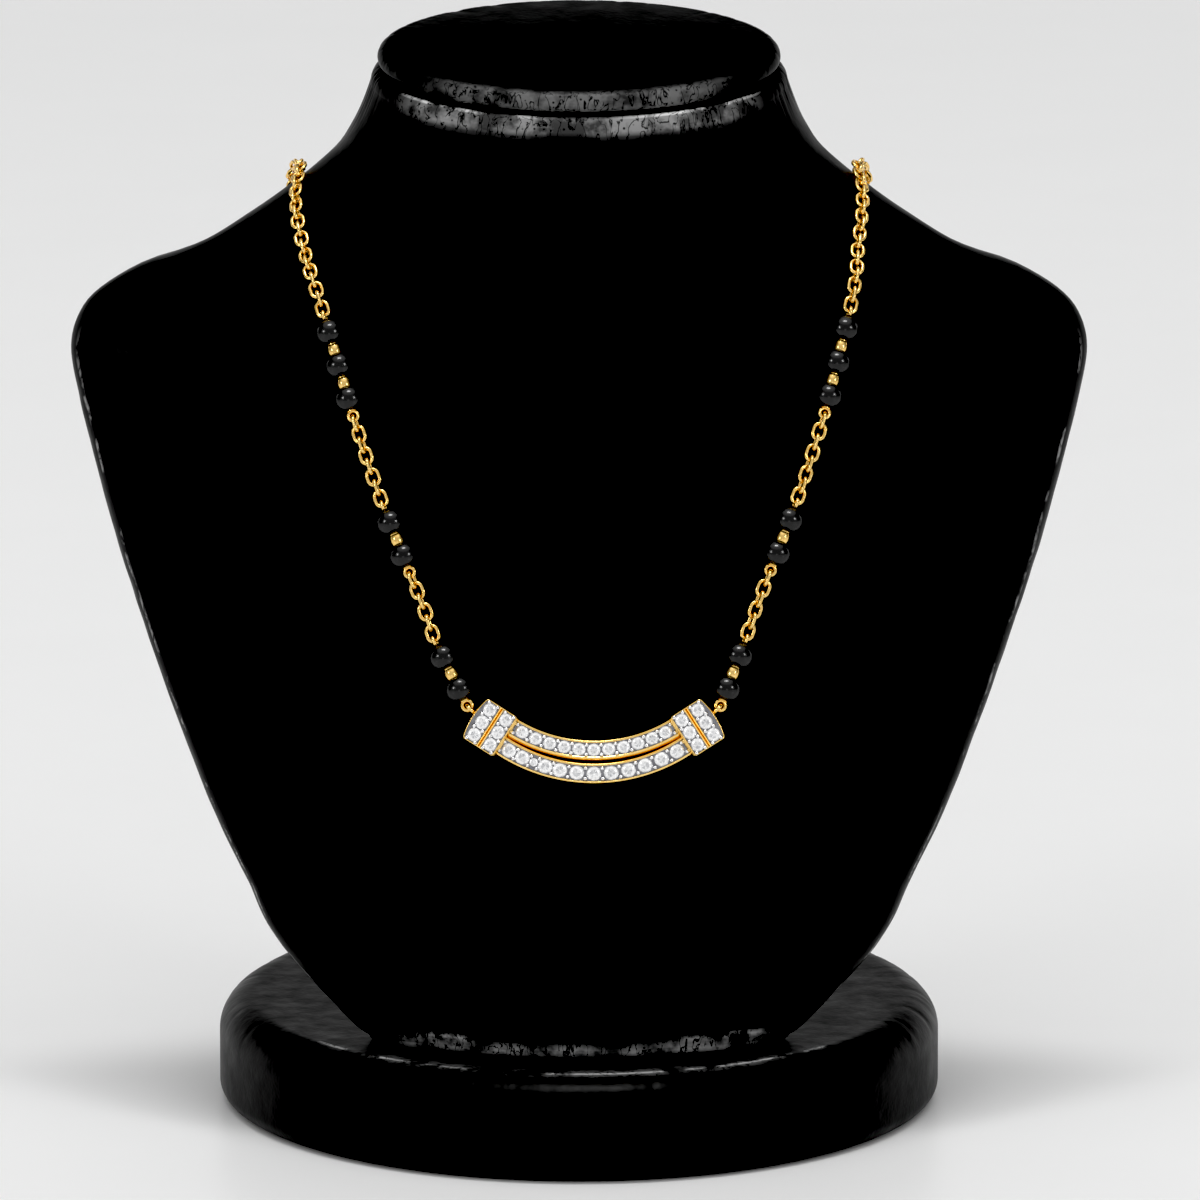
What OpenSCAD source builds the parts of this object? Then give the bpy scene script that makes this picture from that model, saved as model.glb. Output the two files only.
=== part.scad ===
// Mangalsutra on a padded neck bust stand.
// Millimetres, +Z up, the front faces -Y, origin under the centre of the round base.

/* [Base] */
// Diameter of the round base
base_d = 119.4; // [112:0.2:140]
// Height of the base
base_h = 17; // [12:0.5:24]
// Rounding of the base's upper edge
base_top_r = 6; // [3:0.5:7]
// Rounding of the base's lower edge
base_foot_r = 2.7; // [1:0.1:4]

/* [Torso] */
// Height of the torso from the base to the top of the neck
torso_h = 153.9; // [140:0.1:170]
// Width across the shoulders
shoulder_w = 166.8; // [150:0.2:185]
// Depth of the chest in front of the shoulder line
chest_d = 27.5; // [24:0.5:32]
// Depth of the neck behind the shoulder line
nape_d = 23.5; // [20:0.5:28]
// Distance of the torso's lower front edge in front of the base's centre
foot_front = 46; // [42:0.5:50]
// Lean of the bust to the back, in degrees
lean = 14; // [8:0.5:18]
// Slope of the neck's top to the front, in degrees
neck_tilt = 10.5; // [6:0.5:14]
// How far the neck is set back from the shoulder line
neck_setback = 4; // [0:0.5:8]
// Rounding of the torso's lower edge
torso_foot_r = 1.5; // [0.8:0.1:2.5]
// Rounding of the neck's upper edge
neck_edge_r = 2.4; // [1.5:0.1:3.5]

/* [Neck cap] */
// Width of the padded disc on the neck
cap_w = 66.2; // [60:0.2:68]
// Depth of the padded disc
cap_d = 46; // [42:0.2:50]
// Thickness of the padded disc at its edge
cap_t = 3.4; // [2.4:0.1:5]
// Rise of the disc's soft top above its edge
cap_dome = 1; // [0.2:0.1:2]

/* [Beads] */
// Diameter of a black bead
bead_d = 4.7; // [4:0.1:5.4]
// Length of a black bead along its hole
bead_l = 4.2; // [3.6:0.1:4.8]
// Depth of the dimple at each end of a black bead
bead_dimple = 0.4; // [0.2:0.05:0.6]
// Diameter of a gold spacer bead
spacer_d = 2.15; // [1.8:0.05:2.2]
// Length of a gold spacer bead with its collar
spacer_l = 2.2; // [1.6:0.1:2.6]
// Clearance of a bead round the pin
bore_clearance = 0.12; // [0.1:0.01:0.2]
// Gap between neighbours on a pin
bead_gap = 0.1; // [0.08:0.01:0.2]

/* [Chain] */
// Wire of the links, eyes and pins
wire_d = 0.6; // [0.5:0.02:0.7]
// Length of the hole in a link
link_hole_l = 2; // [1.8:0.05:2.3]
// Width of the hole in a link
link_hole_w = 1.3; // [1.1:0.05:1.5]
// Diameter of the hole in an eye
eye_hole = 1; // [0.9:0.02:1.2]
// Free play where two links or eyes hook into each other
link_play = 0.15; // [0.1:0.01:0.2]
// How far the links turn to and fro about the chain, in degrees
link_twist = 9; // [0:1:12]
// Length of the plain clasp's barrel
clasp_l = 7; // [5:0.5:9]
// Diameter of the plain clasp's barrel
clasp_d = 2.8; // [2.2:0.1:3.4]
// Extra height of the necklace over the covering
chain_lift = 0; // [0:0.1:1.5]

/* [Pendant] */
// Radius of the upper bar along its stones
upper_r = 25.1; // [24:0.1:27]
// Radius of the lower bar along its stones
lower_r = 26.9; // [26.8:0.1:28.5]
// Distance between the two rows of stones at the middle
row_step = 3.86; // [3.84:0.02:4.3]
// Diameter of the upper bar's stones
upper_stone_d = 2.06; // [1.8:0.02:2.1]
// Diameter of the lower bar's stones
lower_stone_d = 2.3; // [2:0.02:2.34]
// Diameter of the one small stone in the lower bar
small_stone_d = 1.36; // [1.1:0.02:1.4]
// Diameter of the end caps' stones
cap_stone_d = 2.16; // [1.9:0.02:2.2]
// Thickness of the two bars
bar_t = 1.7; // [1.5:0.05:1.9]
// Thickness of the end caps
end_t = 2.45; // [2.3:0.05:2.9]
// Length of an end cap across the bars
end_l = 7.65; // [7.5:0.05:8.2]
// Width of an end cap along the bars
end_w = 5.8; // [5.8:0.05:6.4]
// How far an end cap's outer side bulges
end_bulge = 0.55; // [0.2:0.05:0.8]
// Width of the gold rails beside the stones
rail_w = 0.4; // [0.3:0.02:0.45]
// Width of the upper bar's broad lower rail
broad_rail_w = 0.74; // [0.6:0.02:0.8]
// Depth of the channels that hold the stones
channel_d = 0.55; // [0.5:0.01:0.65]
// Room in a channel beside its stones
channel_room = 0.2; // [0.15:0.01:0.22]
// Diameter of the small beads of metal that hold the stones
prong_d = 0.3; // [0.24:0.01:0.34]
// Gap between the pendant's back and the covering at its middle
pendant_gap = 0.3; // [0.2:0.05:0.5]
// Distance by which the necklace hangs to the right of the middle
hang_offset = 2.4; // [0:0.1:3]

/* [Hidden] */

seat_gap = 0.15;      // gap between a covered piece and the one it stands on
tiny = 0.01;
black = [0.03, 0.03, 0.032];
gold = [0.93, 0.69, 0.27];
stone_white = [0.92, 0.94, 0.96];
cover = [0.05, 0.05, 0.055];

// Sections of the torso from the base to the neck. Columns: height as a share of torso_h, half width
// as a share of half of shoulder_w, setback as a share of neck_setback, front depth as a share of
// chest_d, back depth as a share of nape_d, depth left at the side as a share of the front depth,
// squareness of the side, slope of the section as a share of neck_tilt.
SECTIONS = [
    [0.000, 0.418, 0.00, 0.545, 0.30, 0.43, 14, 0],
    [0.100, 0.590, 0.00, 0.710, 0.34, 0.34, 18, 0],
    [0.165, 0.655, 0.00, 0.800, 0.37, 0.31, 20, 0],
    [0.245, 0.727, 0.00, 0.870, 0.40, 0.28, 22, 0],
    [0.330, 0.790, 0.00, 0.930, 0.43, 0.26, 24, 0],
    [0.410, 0.845, 0.00, 0.970, 0.45, 0.25, 24, 0],
    [0.493, 0.897, 0.00, 1.000, 0.47, 0.25, 24, 0],
    [0.576, 0.942, 0.00, 0.990, 0.50, 0.25, 24, 0],
    [0.660, 0.984, 0.00, 0.940, 0.53, 0.25, 24, 0],
    [0.712, 1.000, 0.00, 0.890, 0.56, 0.26, 22, 0],
    [0.750, 0.983, 0.00, 0.840, 0.59, 0.27, 18, 0],
    [0.774, 0.944, 0.01, 0.810, 0.62, 0.28, 15, 0.02],
    [0.799, 0.862, 0.04, 0.780, 0.66, 0.31, 12, 0.05],
    [0.812, 0.785, 0.08, 0.770, 0.69, 0.34, 10, 0.08],
    [0.824, 0.730, 0.13, 0.765, 0.72, 0.38, 8, 0.12],
    [0.849, 0.652, 0.28, 0.775, 0.79, 0.47, 6, 0.22],
    [0.874, 0.580, 0.46, 0.800, 0.86, 0.60, 4.5, 0.36],
    [0.911, 0.489, 0.73, 0.835, 0.94, 0.80, 3, 0.60],
    [0.936, 0.453, 0.87, 0.850, 0.98, 0.92, 2.4, 0.78],
    [0.961, 0.429, 0.96, 0.855, 1.00, 0.98, 2.1, 0.92],
    [0.984, 0.412, 1.00, 0.855, 1.00, 1.00, 2, 1]];

// Route of the necklace over the bust, from the pendant to the nape. Columns: angle round the bust
// from the front in degrees, height as a share of torso_h, height over the covering in mm.
ROUTE = [
    [16.8, 0.379, 3.4], [19.2, 0.430, 2.8], [20.8, 0.480, 2.7], [22.9, 0.535, 2.8], [25.2, 0.600, 2.7],
    [27.0, 0.665, 2.9], [28.8, 0.720, 3.0], [31.5, 0.764, 2.7], [37.2, 0.798, 2.6], [47.3, 0.825, 2.0],
    [58.3, 0.853, 1.6], [72.1, 0.876, 1.5], [87.0, 0.890, 1.5], [101.0, 0.884, 1.7], [116.0, 0.862, 2.2],
    [136.0, 0.826, 3.4], [158.0, 0.785, 4.6], [180.0, 0.768, 5.4]];

// Places of the upper bar's stones along the bar, in degrees from its middle
UPPER_ROW = [for (i = [-5:5]) i * 5.5];
// Places of the lower bar's stones along the bar. The third one is the small stone.
LOWER_ROW = [-30.7, -25.4, -21.2, -17, -11.8, -5.9, 0, 6, 12, 18, 24, 30];
SMALL_ONE = 2;
LOWER_SIZES = [for (i = [0:len(LOWER_ROW) - 1]) i == SMALL_ONE ? small_stone_d : lower_stone_d];

function catmull(a, b, c, d, t) =
    0.5 * (2 * b + (c - a) * t + (2 * a - 5 * b + 4 * c - d) * t * t + (3 * b - a - 3 * c + d) * t * t * t);
// A smooth curve through the rows of a table, at a row number that need not be whole
function along(rows, u) =
    let (last = len(rows) - 1, i = max(0, min(floor(u), last - 1)))
    catmull(rows[max(i - 1, 0)], rows[i], rows[i + 1], rows[min(i + 2, last)], u - i);
function unit(v) = v / norm(v);
function mix(a, b, t) = a + (b - a) * t;

// Surface of the torso
table_step = 0.1;
HEIGHTS = [for (u = [0:table_step:len(SECTIONS) - 1 + tiny]) [along(SECTIONS, u)[0], u]];
shoulder_y = SECTIONS[0][3] * chest_d - foot_front;
torso_z = base_h + seat_gap;
// Point of the torso at an angle round it and a share of its height, drawn in by inset and lifted by lift
function torso_point(angle, share, inset = 0, lift = 0) =
    let (row = along(SECTIONS, lookup(share, HEIGHTS)),
         front = cos(angle) >= 0,
         edge = front ? row[5] : (1 + row[5]) / 2,
         square = front ? row[6] : max(row[6] / 2, 2),
         depth = (front ? row[3] * chest_d : row[4] * nape_d) - inset,
         side = pow(max(0, 1 - pow(abs(sin(angle)), square)), 0.5),
         off = depth * mix(edge, 1, pow(abs(cos(angle)), 3)) * side * (front ? -1 : 1),
         rise = share * torso_h)
    [(row[1] * shoulder_w / 2 - inset) * sin(angle),
     shoulder_y + rise * tan(lean) + row[2] * neck_setback + off,
     torso_z + rise + lift + off * tan(neck_tilt) * row[7]];
function torso_normal(angle, share) =
    let (turn = 0.5, climb = 0.004,
         a = torso_point(angle + turn, share) - torso_point(angle - turn, share),
         b = torso_point(angle, share + climb) - torso_point(angle, share - climb))
    unit(cross(a, b));
function over_torso(angle, share, height) = torso_point(angle, share) + height * torso_normal(angle, share);

// Place of the pendant: the point of the covering behind the middle of the upper row, and its slope
pendant_share = 0.335;
pendant_back = torso_normal(0, pendant_share);
pendant_slope = atan2(pendant_back[2], -pendant_back[1]);
pendant_seat = over_torso(0, pendant_share, pendant_gap) + [hang_offset, 0, 0];
// A point of the pendant's own plane, x to the right, y up the chest, z to the front, in the model's frame
function on_pendant(p) = pendant_seat
    + [p[0],
       p[1] * sin(pendant_slope) - p[2] * cos(pendant_slope),
       p[1] * cos(pendant_slope) + p[2] * sin(pendant_slope)];

// End caps: middle of the cap, and the direction that points out of its outer side
end_turn = 147.4;
end_reach = 38.3;
end_drop = 0.2;
end_r = upper_r + row_step / 2;
end_middle = [-end_r * sin(end_reach), upper_r - end_r * cos(end_reach) - end_drop];
eye_r = eye_hole / 2 + wire_d / 2;
eye_out = eye_hole / 2 + wire_d;
loop_sink = 0.3;
loop_out = end_w / 2 + end_bulge + eye_out - loop_sink;
loop_side = 0.75;
loop_middle = end_middle + loop_out * [cos(end_turn), sin(end_turn)]
    + loop_side * [sin(end_turn), -cos(end_turn)];
hook_turn = 134;
hook_dip = 15;
hook_run = eye_r * cos(hook_dip);
eye_start = loop_middle + hook_run * [cos(hook_turn), sin(hook_turn)];
function eye_seat(side) =
    on_pendant([-side * eye_start[0], eye_start[1], end_t / 2 - eye_r * sin(hook_dip)]);

// Route of one side as points and normals, side is 1 for the right and -1 for the left. The pendant
// hangs beside the middle, so the whole front of the route is turned a little about the neck.
route_step = 0.05;
sway_angle = 0.8;
function sway(angle) = sway_angle * hang_offset * pow(max(0, cos(angle)), 4);
function mirrored(p) = [-p[0], p[1], p[2]];
function key_points(side) = let (first = eye_seat(side), rest = [for (i = [1:len(ROUTE) - 1])
        let (row = ROUTE[i]) over_torso(side * row[0] + sway(row[0]), row[1], row[2] + chain_lift)])
    concat([first], rest, [mirrored(rest[len(rest) - 2])]);
function key_normals(side) =
    let (all = [for (row = ROUTE) torso_normal(side * row[0] + sway(row[0]), row[1])])
    concat(all, [mirrored(all[len(all) - 2])]);
ALONG = [for (u = [0:route_step:len(ROUTE) - 1 + tiny]) u];
function route_points(side) = let (keys = key_points(side)) [for (u = ALONG) along(keys, u)];
function route_normals(side) = let (keys = key_normals(side)) [for (u = ALONG) unit(along(keys, u))];
// Length of a path from one of its points to the next, and up to each of its points
function stride(path, i) = i + 1 < len(path) ? norm(path[i + 1] - path[i]) : 0;
function lengths(path) = [for (i = 0, s = 0; i < len(path); s = s + stride(path, i), i = i + 1) s];
function columns(path, at) = [for (axis = [0:2]) [for (i = [0:len(path) - 1]) [at[i], path[i][axis]]]];
function read(table, s) = [for (axis = [0:2]) lookup(s, table[axis])];

left_path = route_points(-1);
left_at = lengths(left_path);
left_route = columns(left_path, left_at);
left_normals = columns(route_normals(-1), left_at);
left_length = left_at[len(left_at) - 1];
right_path = route_points(1);
right_at = lengths(right_path);
right_route = columns(right_path, right_at);
right_normals = columns(route_normals(1), right_at);
right_length = right_at[len(right_at) - 1];

// Lengths along the necklace
link_pitch = link_hole_l - link_play;
hook_reach = eye_hole / 2 + link_hole_l / 2 - link_play;
bead_seat = bead_l / 2 - bead_dimple;
bead_pitch = 2 * bead_seat + spacer_l + 2 * bead_gap;
eye_reach = bead_seat + bead_gap + eye_out;
function pin_length(beads) = 2 * eye_reach + (beads - 1) * bead_pitch;
function chain_length(links) = 2 * hook_reach + (links - 1) * link_pitch;
lower_links = 6;
middle_links = 8;
pin_3_at = 0;
lower_chain_at = pin_3_at + pin_length(2);
pin_2_at = lower_chain_at + chain_length(lower_links);
middle_chain_at = pin_2_at + pin_length(2);
pin_1_at = middle_chain_at + chain_length(middle_links);
upper_chain_at = pin_1_at + pin_length(3);
clasp_reach = clasp_l / 2 + eye_r;
function upper_span(total) = total - clasp_reach - upper_chain_at;
bend_play = 0.07;
upper_pitch = link_pitch - bend_play;
mean_span = (upper_span(left_length) + upper_span(right_length)) / 2;
upper_links = 2 * ceil((mean_span - 2 * hook_reach) / upper_pitch / 2);

// Frames along the necklace
function frame(p, x, z) = let (y = unit(cross(z, x)), w = unit(cross(x, y)))
    [[x[0], y[0], w[0], p[0]], [x[1], y[1], w[1], p[1]], [x[2], y[2], w[2], p[2]], [0, 0, 0, 1]];
function route_of(side) = side > 0 ? right_route : left_route;
function normals_of(side) = side > 0 ? right_normals : left_normals;
// Frame at a distance along the necklace: x runs along it, z points out of the bust
function at(side, s) =
    let (reach = 0.9, route = route_of(side))
    frame(read(route, s), unit(read(route, s + reach) - read(route, s - reach)), read(normals_of(side), s));
// Frame in the middle of a straight stretch of the necklace
function chord(side, s, length) =
    let (route = route_of(side), a = read(route, s), b = read(route, s + length))
    frame((a + b) / 2, unit(b - a), read(normals_of(side), s + length / 2));

module stand_base() {
    color(cover) rotate_extrude($fn = 96) {
        square([base_d / 2 - base_top_r, base_h]);
        translate([0, base_foot_r]) square([base_d / 2, base_h - base_foot_r - base_top_r]);
        square([base_d / 2 - base_foot_r, base_h / 2]);
        translate([base_d / 2 - base_top_r, base_h - base_top_r]) circle(base_top_r, $fn = 64);
        translate([base_d / 2 - base_foot_r, base_foot_r]) circle(base_foot_r, $fn = 64);
    }
}

// Closed solid through rings of points, all with the same number of points
module rings_solid(rings) {
    n = len(rings[0]);
    m = len(rings);
    polyhedron(
        points = [for (ring = rings) each ring],
        faces = concat(
            [[for (i = [0:n - 1]) i]],
            [for (k = [0:m - 2], i = [0:n - 1]) let (j = (i + 1) % n) each
                [[k * n + i, (k + 1) * n + i, (k + 1) * n + j], [k * n + i, (k + 1) * n + j, k * n + j]]],
            [[for (i = [n - 1:-1:0]) (m - 1) * n + i]]),
        convexity = 6);
}

around_step = 6;
AROUND = [for (angle = [0:around_step:360 - around_step]) angle];
module bust_torso() {
    last = len(SECTIONS) - 1;
    quarter = 30;
    color(cover) rings_solid(concat(
        [for (turn = [0:quarter:60])
            [for (angle = AROUND)
                torso_point(angle, 0, torso_foot_r * (1 - sin(turn)), torso_foot_r * (1 - cos(turn)))]],
        [for (u = [0.5:0.5:last - 0.5]) let (share = along(SECTIONS, u)[0])
            [for (angle = AROUND) torso_point(angle, share)]],
        [for (turn = [0:quarter:90])
            let (inset = neck_edge_r * (1 - cos(turn)), lift = neck_edge_r * sin(turn))
            [for (angle = AROUND) torso_point(angle, SECTIONS[last][0], inset, lift)]]));
}

neck_middle = [0, shoulder_y + SECTIONS[len(SECTIONS) - 1][0] * torso_h * tan(lean) + neck_setback,
    torso_z + SECTIONS[len(SECTIONS) - 1][0] * torso_h + neck_edge_r];
module neck_cap() {
    step = 7.5;
    edge = cap_t / 2;
    color(cover) translate(neck_middle) rotate([neck_tilt, 0, 0]) translate([0, 0, seat_gap])
    rings_solid(concat(
        [for (turn = [-90:22.5:90])
            [for (angle = [0:step:360 - step])
                [(cap_w / 2 - edge * (1 - cos(turn))) * sin(angle),
                 -(cap_d / 2 - edge * (1 - cos(turn))) * cos(angle),
                 edge * (1 + sin(turn))]]],
        [for (share = [0.85, 0.6, 0.3])
            [for (angle = [0:step:360 - step])
                [(cap_w / 2 - edge) * share * sin(angle),
                 -(cap_d / 2 - edge) * share * cos(angle),
                 cap_t + cap_dome * (1 - share * share)]]]));
}

// Pendant
module on_pendant_plane() {
    translate(pendant_seat) rotate([90 - pendant_slope, 0, 0]) children();
}
upper_channel = upper_stone_d + channel_room;
lower_channel = lower_stone_d + channel_room;
bar_turn = 38;
// Curved bar with a channel: radius of its stones, width of the channel, rails above and below
module bar(radius, channel, upper_rail, lower_rail) {
    rotate([0, 0, -90 - bar_turn]) rotate_extrude(angle = 2 * bar_turn, $fn = 180) difference() {
        translate([radius - channel / 2 - upper_rail, 0]) square([channel + upper_rail + lower_rail, bar_t]);
        translate([radius - channel / 2, bar_t - channel_d]) square([channel, channel_d + 1]);
    }
}
end_pitch = cap_stone_d + 0.22;
end_rail = 0.26;
end_column = 1.53;
end_channel = cap_stone_d + channel_room;
groove_w = 0.28;
groove_d = 0.35;
// Outline of an end cap, x points out of the pendant
module end_outline() {
    bulge_r = (end_l * end_l / 4 + end_bulge * end_bulge) / (2 * end_bulge);
    intersection() {
        translate([-end_w / 2, -end_l / 2]) square([end_w + end_bulge, end_l]);
        translate([end_w / 2 + end_bulge - bulge_r, 0]) circle(bulge_r, $fn = 180);
    }
}
module end_cap() {
    difference() {
        linear_extrude(end_t) end_outline();
        for (x = [-end_column, end_column])
            translate([x - end_channel / 2, -end_l / 2 + end_rail, end_t - channel_d])
                cube([end_channel, end_l - 2 * end_rail, channel_d + 1]);
        translate([-groove_w / 2, -end_l / 2 - 1, end_t - groove_d]) cube([groove_w, end_l + 2, 1]);
    }
}
module at_end(side) {
    translate([-side * end_middle[0], end_middle[1], 0])
        rotate([0, 0, side > 0 ? 180 - end_turn : end_turn]) children();
}
module side_loop(side) {
    translate([-side * loop_middle[0], loop_middle[1], end_t / 2])
        rotate([0, 0, side > 0 ? 180 - hook_turn : hook_turn]) rotate([90, 0, 0])
            rotate_extrude($fn = 32) translate([eye_r, 0]) circle(wire_d / 2, $fn = 24);
}
function on_row(radius, drop, turn) = [radius * sin(turn), radius - drop - radius * cos(turn)];
// Places of the prongs of a row: between neighbouring stones, and one beyond each end
function between(row, sizes, margin) = concat([row[0] - margin],
    [for (i = [0:len(row) - 2]) (row[i] * sizes[i + 1] + row[i + 1] * sizes[i]) / (sizes[i] + sizes[i + 1])],
    [row[len(row) - 1] + margin]);
prong_share = 0.68;
prong_margin = 2.9;
module row_prongs(row, sizes, radius, drop, channel) {
    for (turn = between(row, sizes, prong_margin), in = [-1, 1]) {
        aside = in * channel / 2 * prong_share;
        translate(on_row(radius + aside, drop + aside, turn)) circle(prong_d / 2, $fn = 16);
    }
}
module end_prongs() {
    for (x = [-end_column, end_column], y = [-1.42, -0.5, 0.5, 1.42], in = [-1, 1])
        translate([x + in * end_channel / 2 * prong_share, y * end_pitch]) circle(prong_d / 2, $fn = 16);
}
girdle_lift = 0.25;
prong_h = girdle_lift + 0.17;
seat_share = 0.9;
seat_depth = 0.95;
module seat(d) {
    translate([0, 0, -seat_depth]) cylinder(h = seat_depth + 0.3, d = d * seat_share, $fn = 32);
}
module upper_places() {
    for (turn = UPPER_ROW) translate(concat(on_row(upper_r, 0, turn), [bar_t - channel_d])) children();
}
module lower_place(i) {
    translate(concat(on_row(lower_r, row_step, LOWER_ROW[i]), [bar_t - channel_d])) children();
}
module end_places(side) {
    at_end(side) for (x = [-end_column, end_column], y = [-1, 0, 1])
        translate([x, y * end_pitch, end_t - channel_d]) children();
}
module pendant_frame() {
    color(gold) on_pendant_plane() difference() {
        union() {
            translate([0, upper_r, 0]) bar(upper_r, upper_channel, rail_w, broad_rail_w);
            translate([0, lower_r - row_step, 0]) bar(lower_r, lower_channel, rail_w, rail_w);
            for (side = [-1, 1]) {
                at_end(side) end_cap();
                side_loop(side);
                at_end(side) translate([0, 0, end_t - channel_d - tiny])
                    linear_extrude(prong_h) end_prongs();
            }
            translate([0, 0, bar_t - channel_d - tiny]) linear_extrude(prong_h) {
                row_prongs(UPPER_ROW, [for (turn = UPPER_ROW) upper_stone_d], upper_r, 0, upper_channel);
                row_prongs(LOWER_ROW, LOWER_SIZES, lower_r, row_step, lower_channel);
            }
        }
        upper_places() seat(upper_stone_d);
        for (i = [0:len(LOWER_ROW) - 1]) lower_place(i) seat(LOWER_SIZES[i]);
        for (side = [-1, 1]) end_places(side) seat(cap_stone_d);
    }
}
// Round cut stone with an eight-sided table, eight crown and eight pavilion facets
module cut_stone(d) {
    facets = 8;
    rings = [[0.02, -0.43], [0.5, -0.02], [0.5, 0.02], [0.3, 0.16]];
    color(stone_white) translate([0, 0, girdle_lift]) rings_solid([for (ring = rings)
        [for (i = [0:facets - 1]) let (a = -(i + 0.5) * 360 / facets)
            [ring[0] * d * cos(a), ring[0] * d * sin(a), ring[1] * d]]]);
}
module upper_row_stones() {
    on_pendant_plane() upper_places() cut_stone(upper_stone_d);
}
module lower_row_stones() {
    on_pendant_plane() for (i = [0:len(LOWER_ROW) - 1]) lower_place(i) cut_stone(LOWER_SIZES[i]);
}
module cap_stones(side) {
    on_pendant_plane() end_places(side) cut_stone(cap_stone_d);
}

// Beads lie with their hole along x
bore_r = wire_d / 2 + bore_clearance;
module black_bead() {
    end_r = bead_l / 2;
    dimple_r = spacer_d / 2 + bead_gap;
    color(black) rotate([0, 90, 0]) rotate_extrude($fn = 64) difference() {
        union() {
            intersection() {
                translate([bead_d / 2 - end_r, 0]) circle(end_r, $fn = 64);
                translate([0, -bead_l]) square([bead_d, 2 * bead_l]);
            }
            translate([0, -end_r]) square([bead_d / 2 - end_r, 2 * end_r]);
        }
        translate([-1, -bead_l]) square([1 + bore_r, 2 * bead_l]);
        for (y = [bead_seat, -bead_seat - 1]) translate([-1, y]) square([1 + dimple_r, 1]);
    }
}
collar_l = 0.3;
module gold_bead() {
    body_l = spacer_l - collar_l;
    barrel_r = body_l;
    color(gold) rotate([0, 90, 0]) rotate_extrude($fn = 48) difference() {
        union() {
            intersection() {
                translate([spacer_d / 2 - barrel_r, -collar_l / 2]) circle(barrel_r, $fn = 64);
                translate([0, -spacer_l / 2]) square([spacer_d, body_l]);
            }
            translate([0, spacer_l / 2 - collar_l - tiny]) square([spacer_d * 0.37, collar_l + tiny]);
        }
        translate([-1, -spacer_l]) square([1 + bore_r, 2 * spacer_l]);
    }
}
module ring(r) {
    rotate_extrude($fn = 32) translate([r, 0]) circle(wire_d / 2, $fn = 24);
}
// Straight pin along x with an eye at each end: the lower eye lies flat, the upper one stands on edge
module eye_pin(beads) {
    length = pin_length(beads);
    stem = length - 2 * eye_r;
    collar_d = 1.5;
    color(gold) {
        translate([-length / 2, 0, 0]) ring(eye_r);
        translate([length / 2, 0, 0]) rotate([90, 0, 0]) ring(eye_r);
        translate([-stem / 2, 0, 0]) rotate([0, 90, 0]) cylinder(h = stem, d = wire_d, $fn = 24);
        translate([-length / 2 + eye_out - collar_l, 0, 0]) rotate([0, 90, 0])
            cylinder(h = collar_l, d = collar_d, $fn = 32);
    }
}
// Oval link in the xy plane, its length along x
module link() {
    bend_r = (link_hole_w + wire_d) / 2;
    straight = link_hole_l - link_hole_w;
    for (end = [-1, 1]) {
        translate([end * straight / 2, 0, 0]) rotate([0, 0, end > 0 ? -90 : 90])
            rotate_extrude(angle = 180, $fn = 48) translate([bend_r, 0]) circle(wire_d / 2, $fn = 24);
        translate([-straight / 2, end * bend_r, 0]) rotate([0, 90, 0])
            cylinder(h = straight, d = wire_d, $fn = 24);
    }
}
// Chain of links between two eyes. The first link lies flat, the next stands on edge, and so on.
module chain(side, from, links, pitch) {
    color(gold) for (i = [0:links - 1])
        multmatrix(at(side, from + hook_reach + i * pitch))
            rotate([90 * i + link_twist * sin(50 * i), 0, 0]) link();
}
module upper_chain(side) {
    span = upper_span(side > 0 ? right_length : left_length);
    chain(side, upper_chain_at, upper_links, (span - 2 * hook_reach) / (upper_links - 1));
}
// Bead number i of a pin with n beads, and spacer number i between them
module on_pin(side, from, beads, i) {
    multmatrix(chord(side, from, pin_length(beads)))
        translate([(i - (beads - 1) / 2) * bead_pitch, 0, 0]) children();
}
module pin(side, from, beads) {
    multmatrix(chord(side, from, pin_length(beads))) eye_pin(beads);
}
module clasp() {
    left_end = read(left_route, left_length - clasp_reach);
    right_end = read(right_route, right_length - clasp_reach);
    round_r = clasp_d / 4;
    back = read(left_normals, left_length);
    color(gold) multmatrix(frame((left_end + right_end) / 2, unit(right_end - left_end), back)) {
        rotate([0, 90, 0]) rotate_extrude($fn = 48) {
            translate([0, -clasp_l / 2]) square([clasp_d / 2 - round_r, clasp_l]);
            translate([0, -clasp_l / 2 + round_r]) square([clasp_d / 2, clasp_l - 2 * round_r]);
            for (y = [-1, 1])
                translate([clasp_d / 2 - round_r, y * (clasp_l / 2 - round_r)]) circle(round_r, $fn = 32);
        }
        for (x = [-1, 1]) translate([x * clasp_reach, 0, 0]) ring(eye_r);
    }
}

stand_base();
bust_torso();
neck_cap();
pendant_frame();
upper_row_stones();
lower_row_stones();
cap_stones(-1);  // left_cap_stones
cap_stones(1);  // right_cap_stones
on_pin(-1, pin_1_at, 3, 2) black_bead();  // left_black_bead_1
on_pin(-1, pin_1_at, 3, 1) black_bead();  // left_black_bead_2
on_pin(-1, pin_1_at, 3, 0) black_bead();  // left_black_bead_3
on_pin(-1, pin_2_at, 2, 1) black_bead();  // left_black_bead_4
on_pin(-1, pin_2_at, 2, 0) black_bead();  // left_black_bead_5
on_pin(-1, pin_3_at, 2, 1) black_bead();  // left_black_bead_6
on_pin(-1, pin_3_at, 2, 0) black_bead();  // left_black_bead_7
on_pin(1, pin_1_at, 3, 2) black_bead();  // right_black_bead_1
on_pin(1, pin_1_at, 3, 1) black_bead();  // right_black_bead_2
on_pin(1, pin_1_at, 3, 0) black_bead();  // right_black_bead_3
on_pin(1, pin_2_at, 2, 1) black_bead();  // right_black_bead_4
on_pin(1, pin_2_at, 2, 0) black_bead();  // right_black_bead_5
on_pin(1, pin_3_at, 2, 1) black_bead();  // right_black_bead_6
on_pin(1, pin_3_at, 2, 0) black_bead();  // right_black_bead_7
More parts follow.
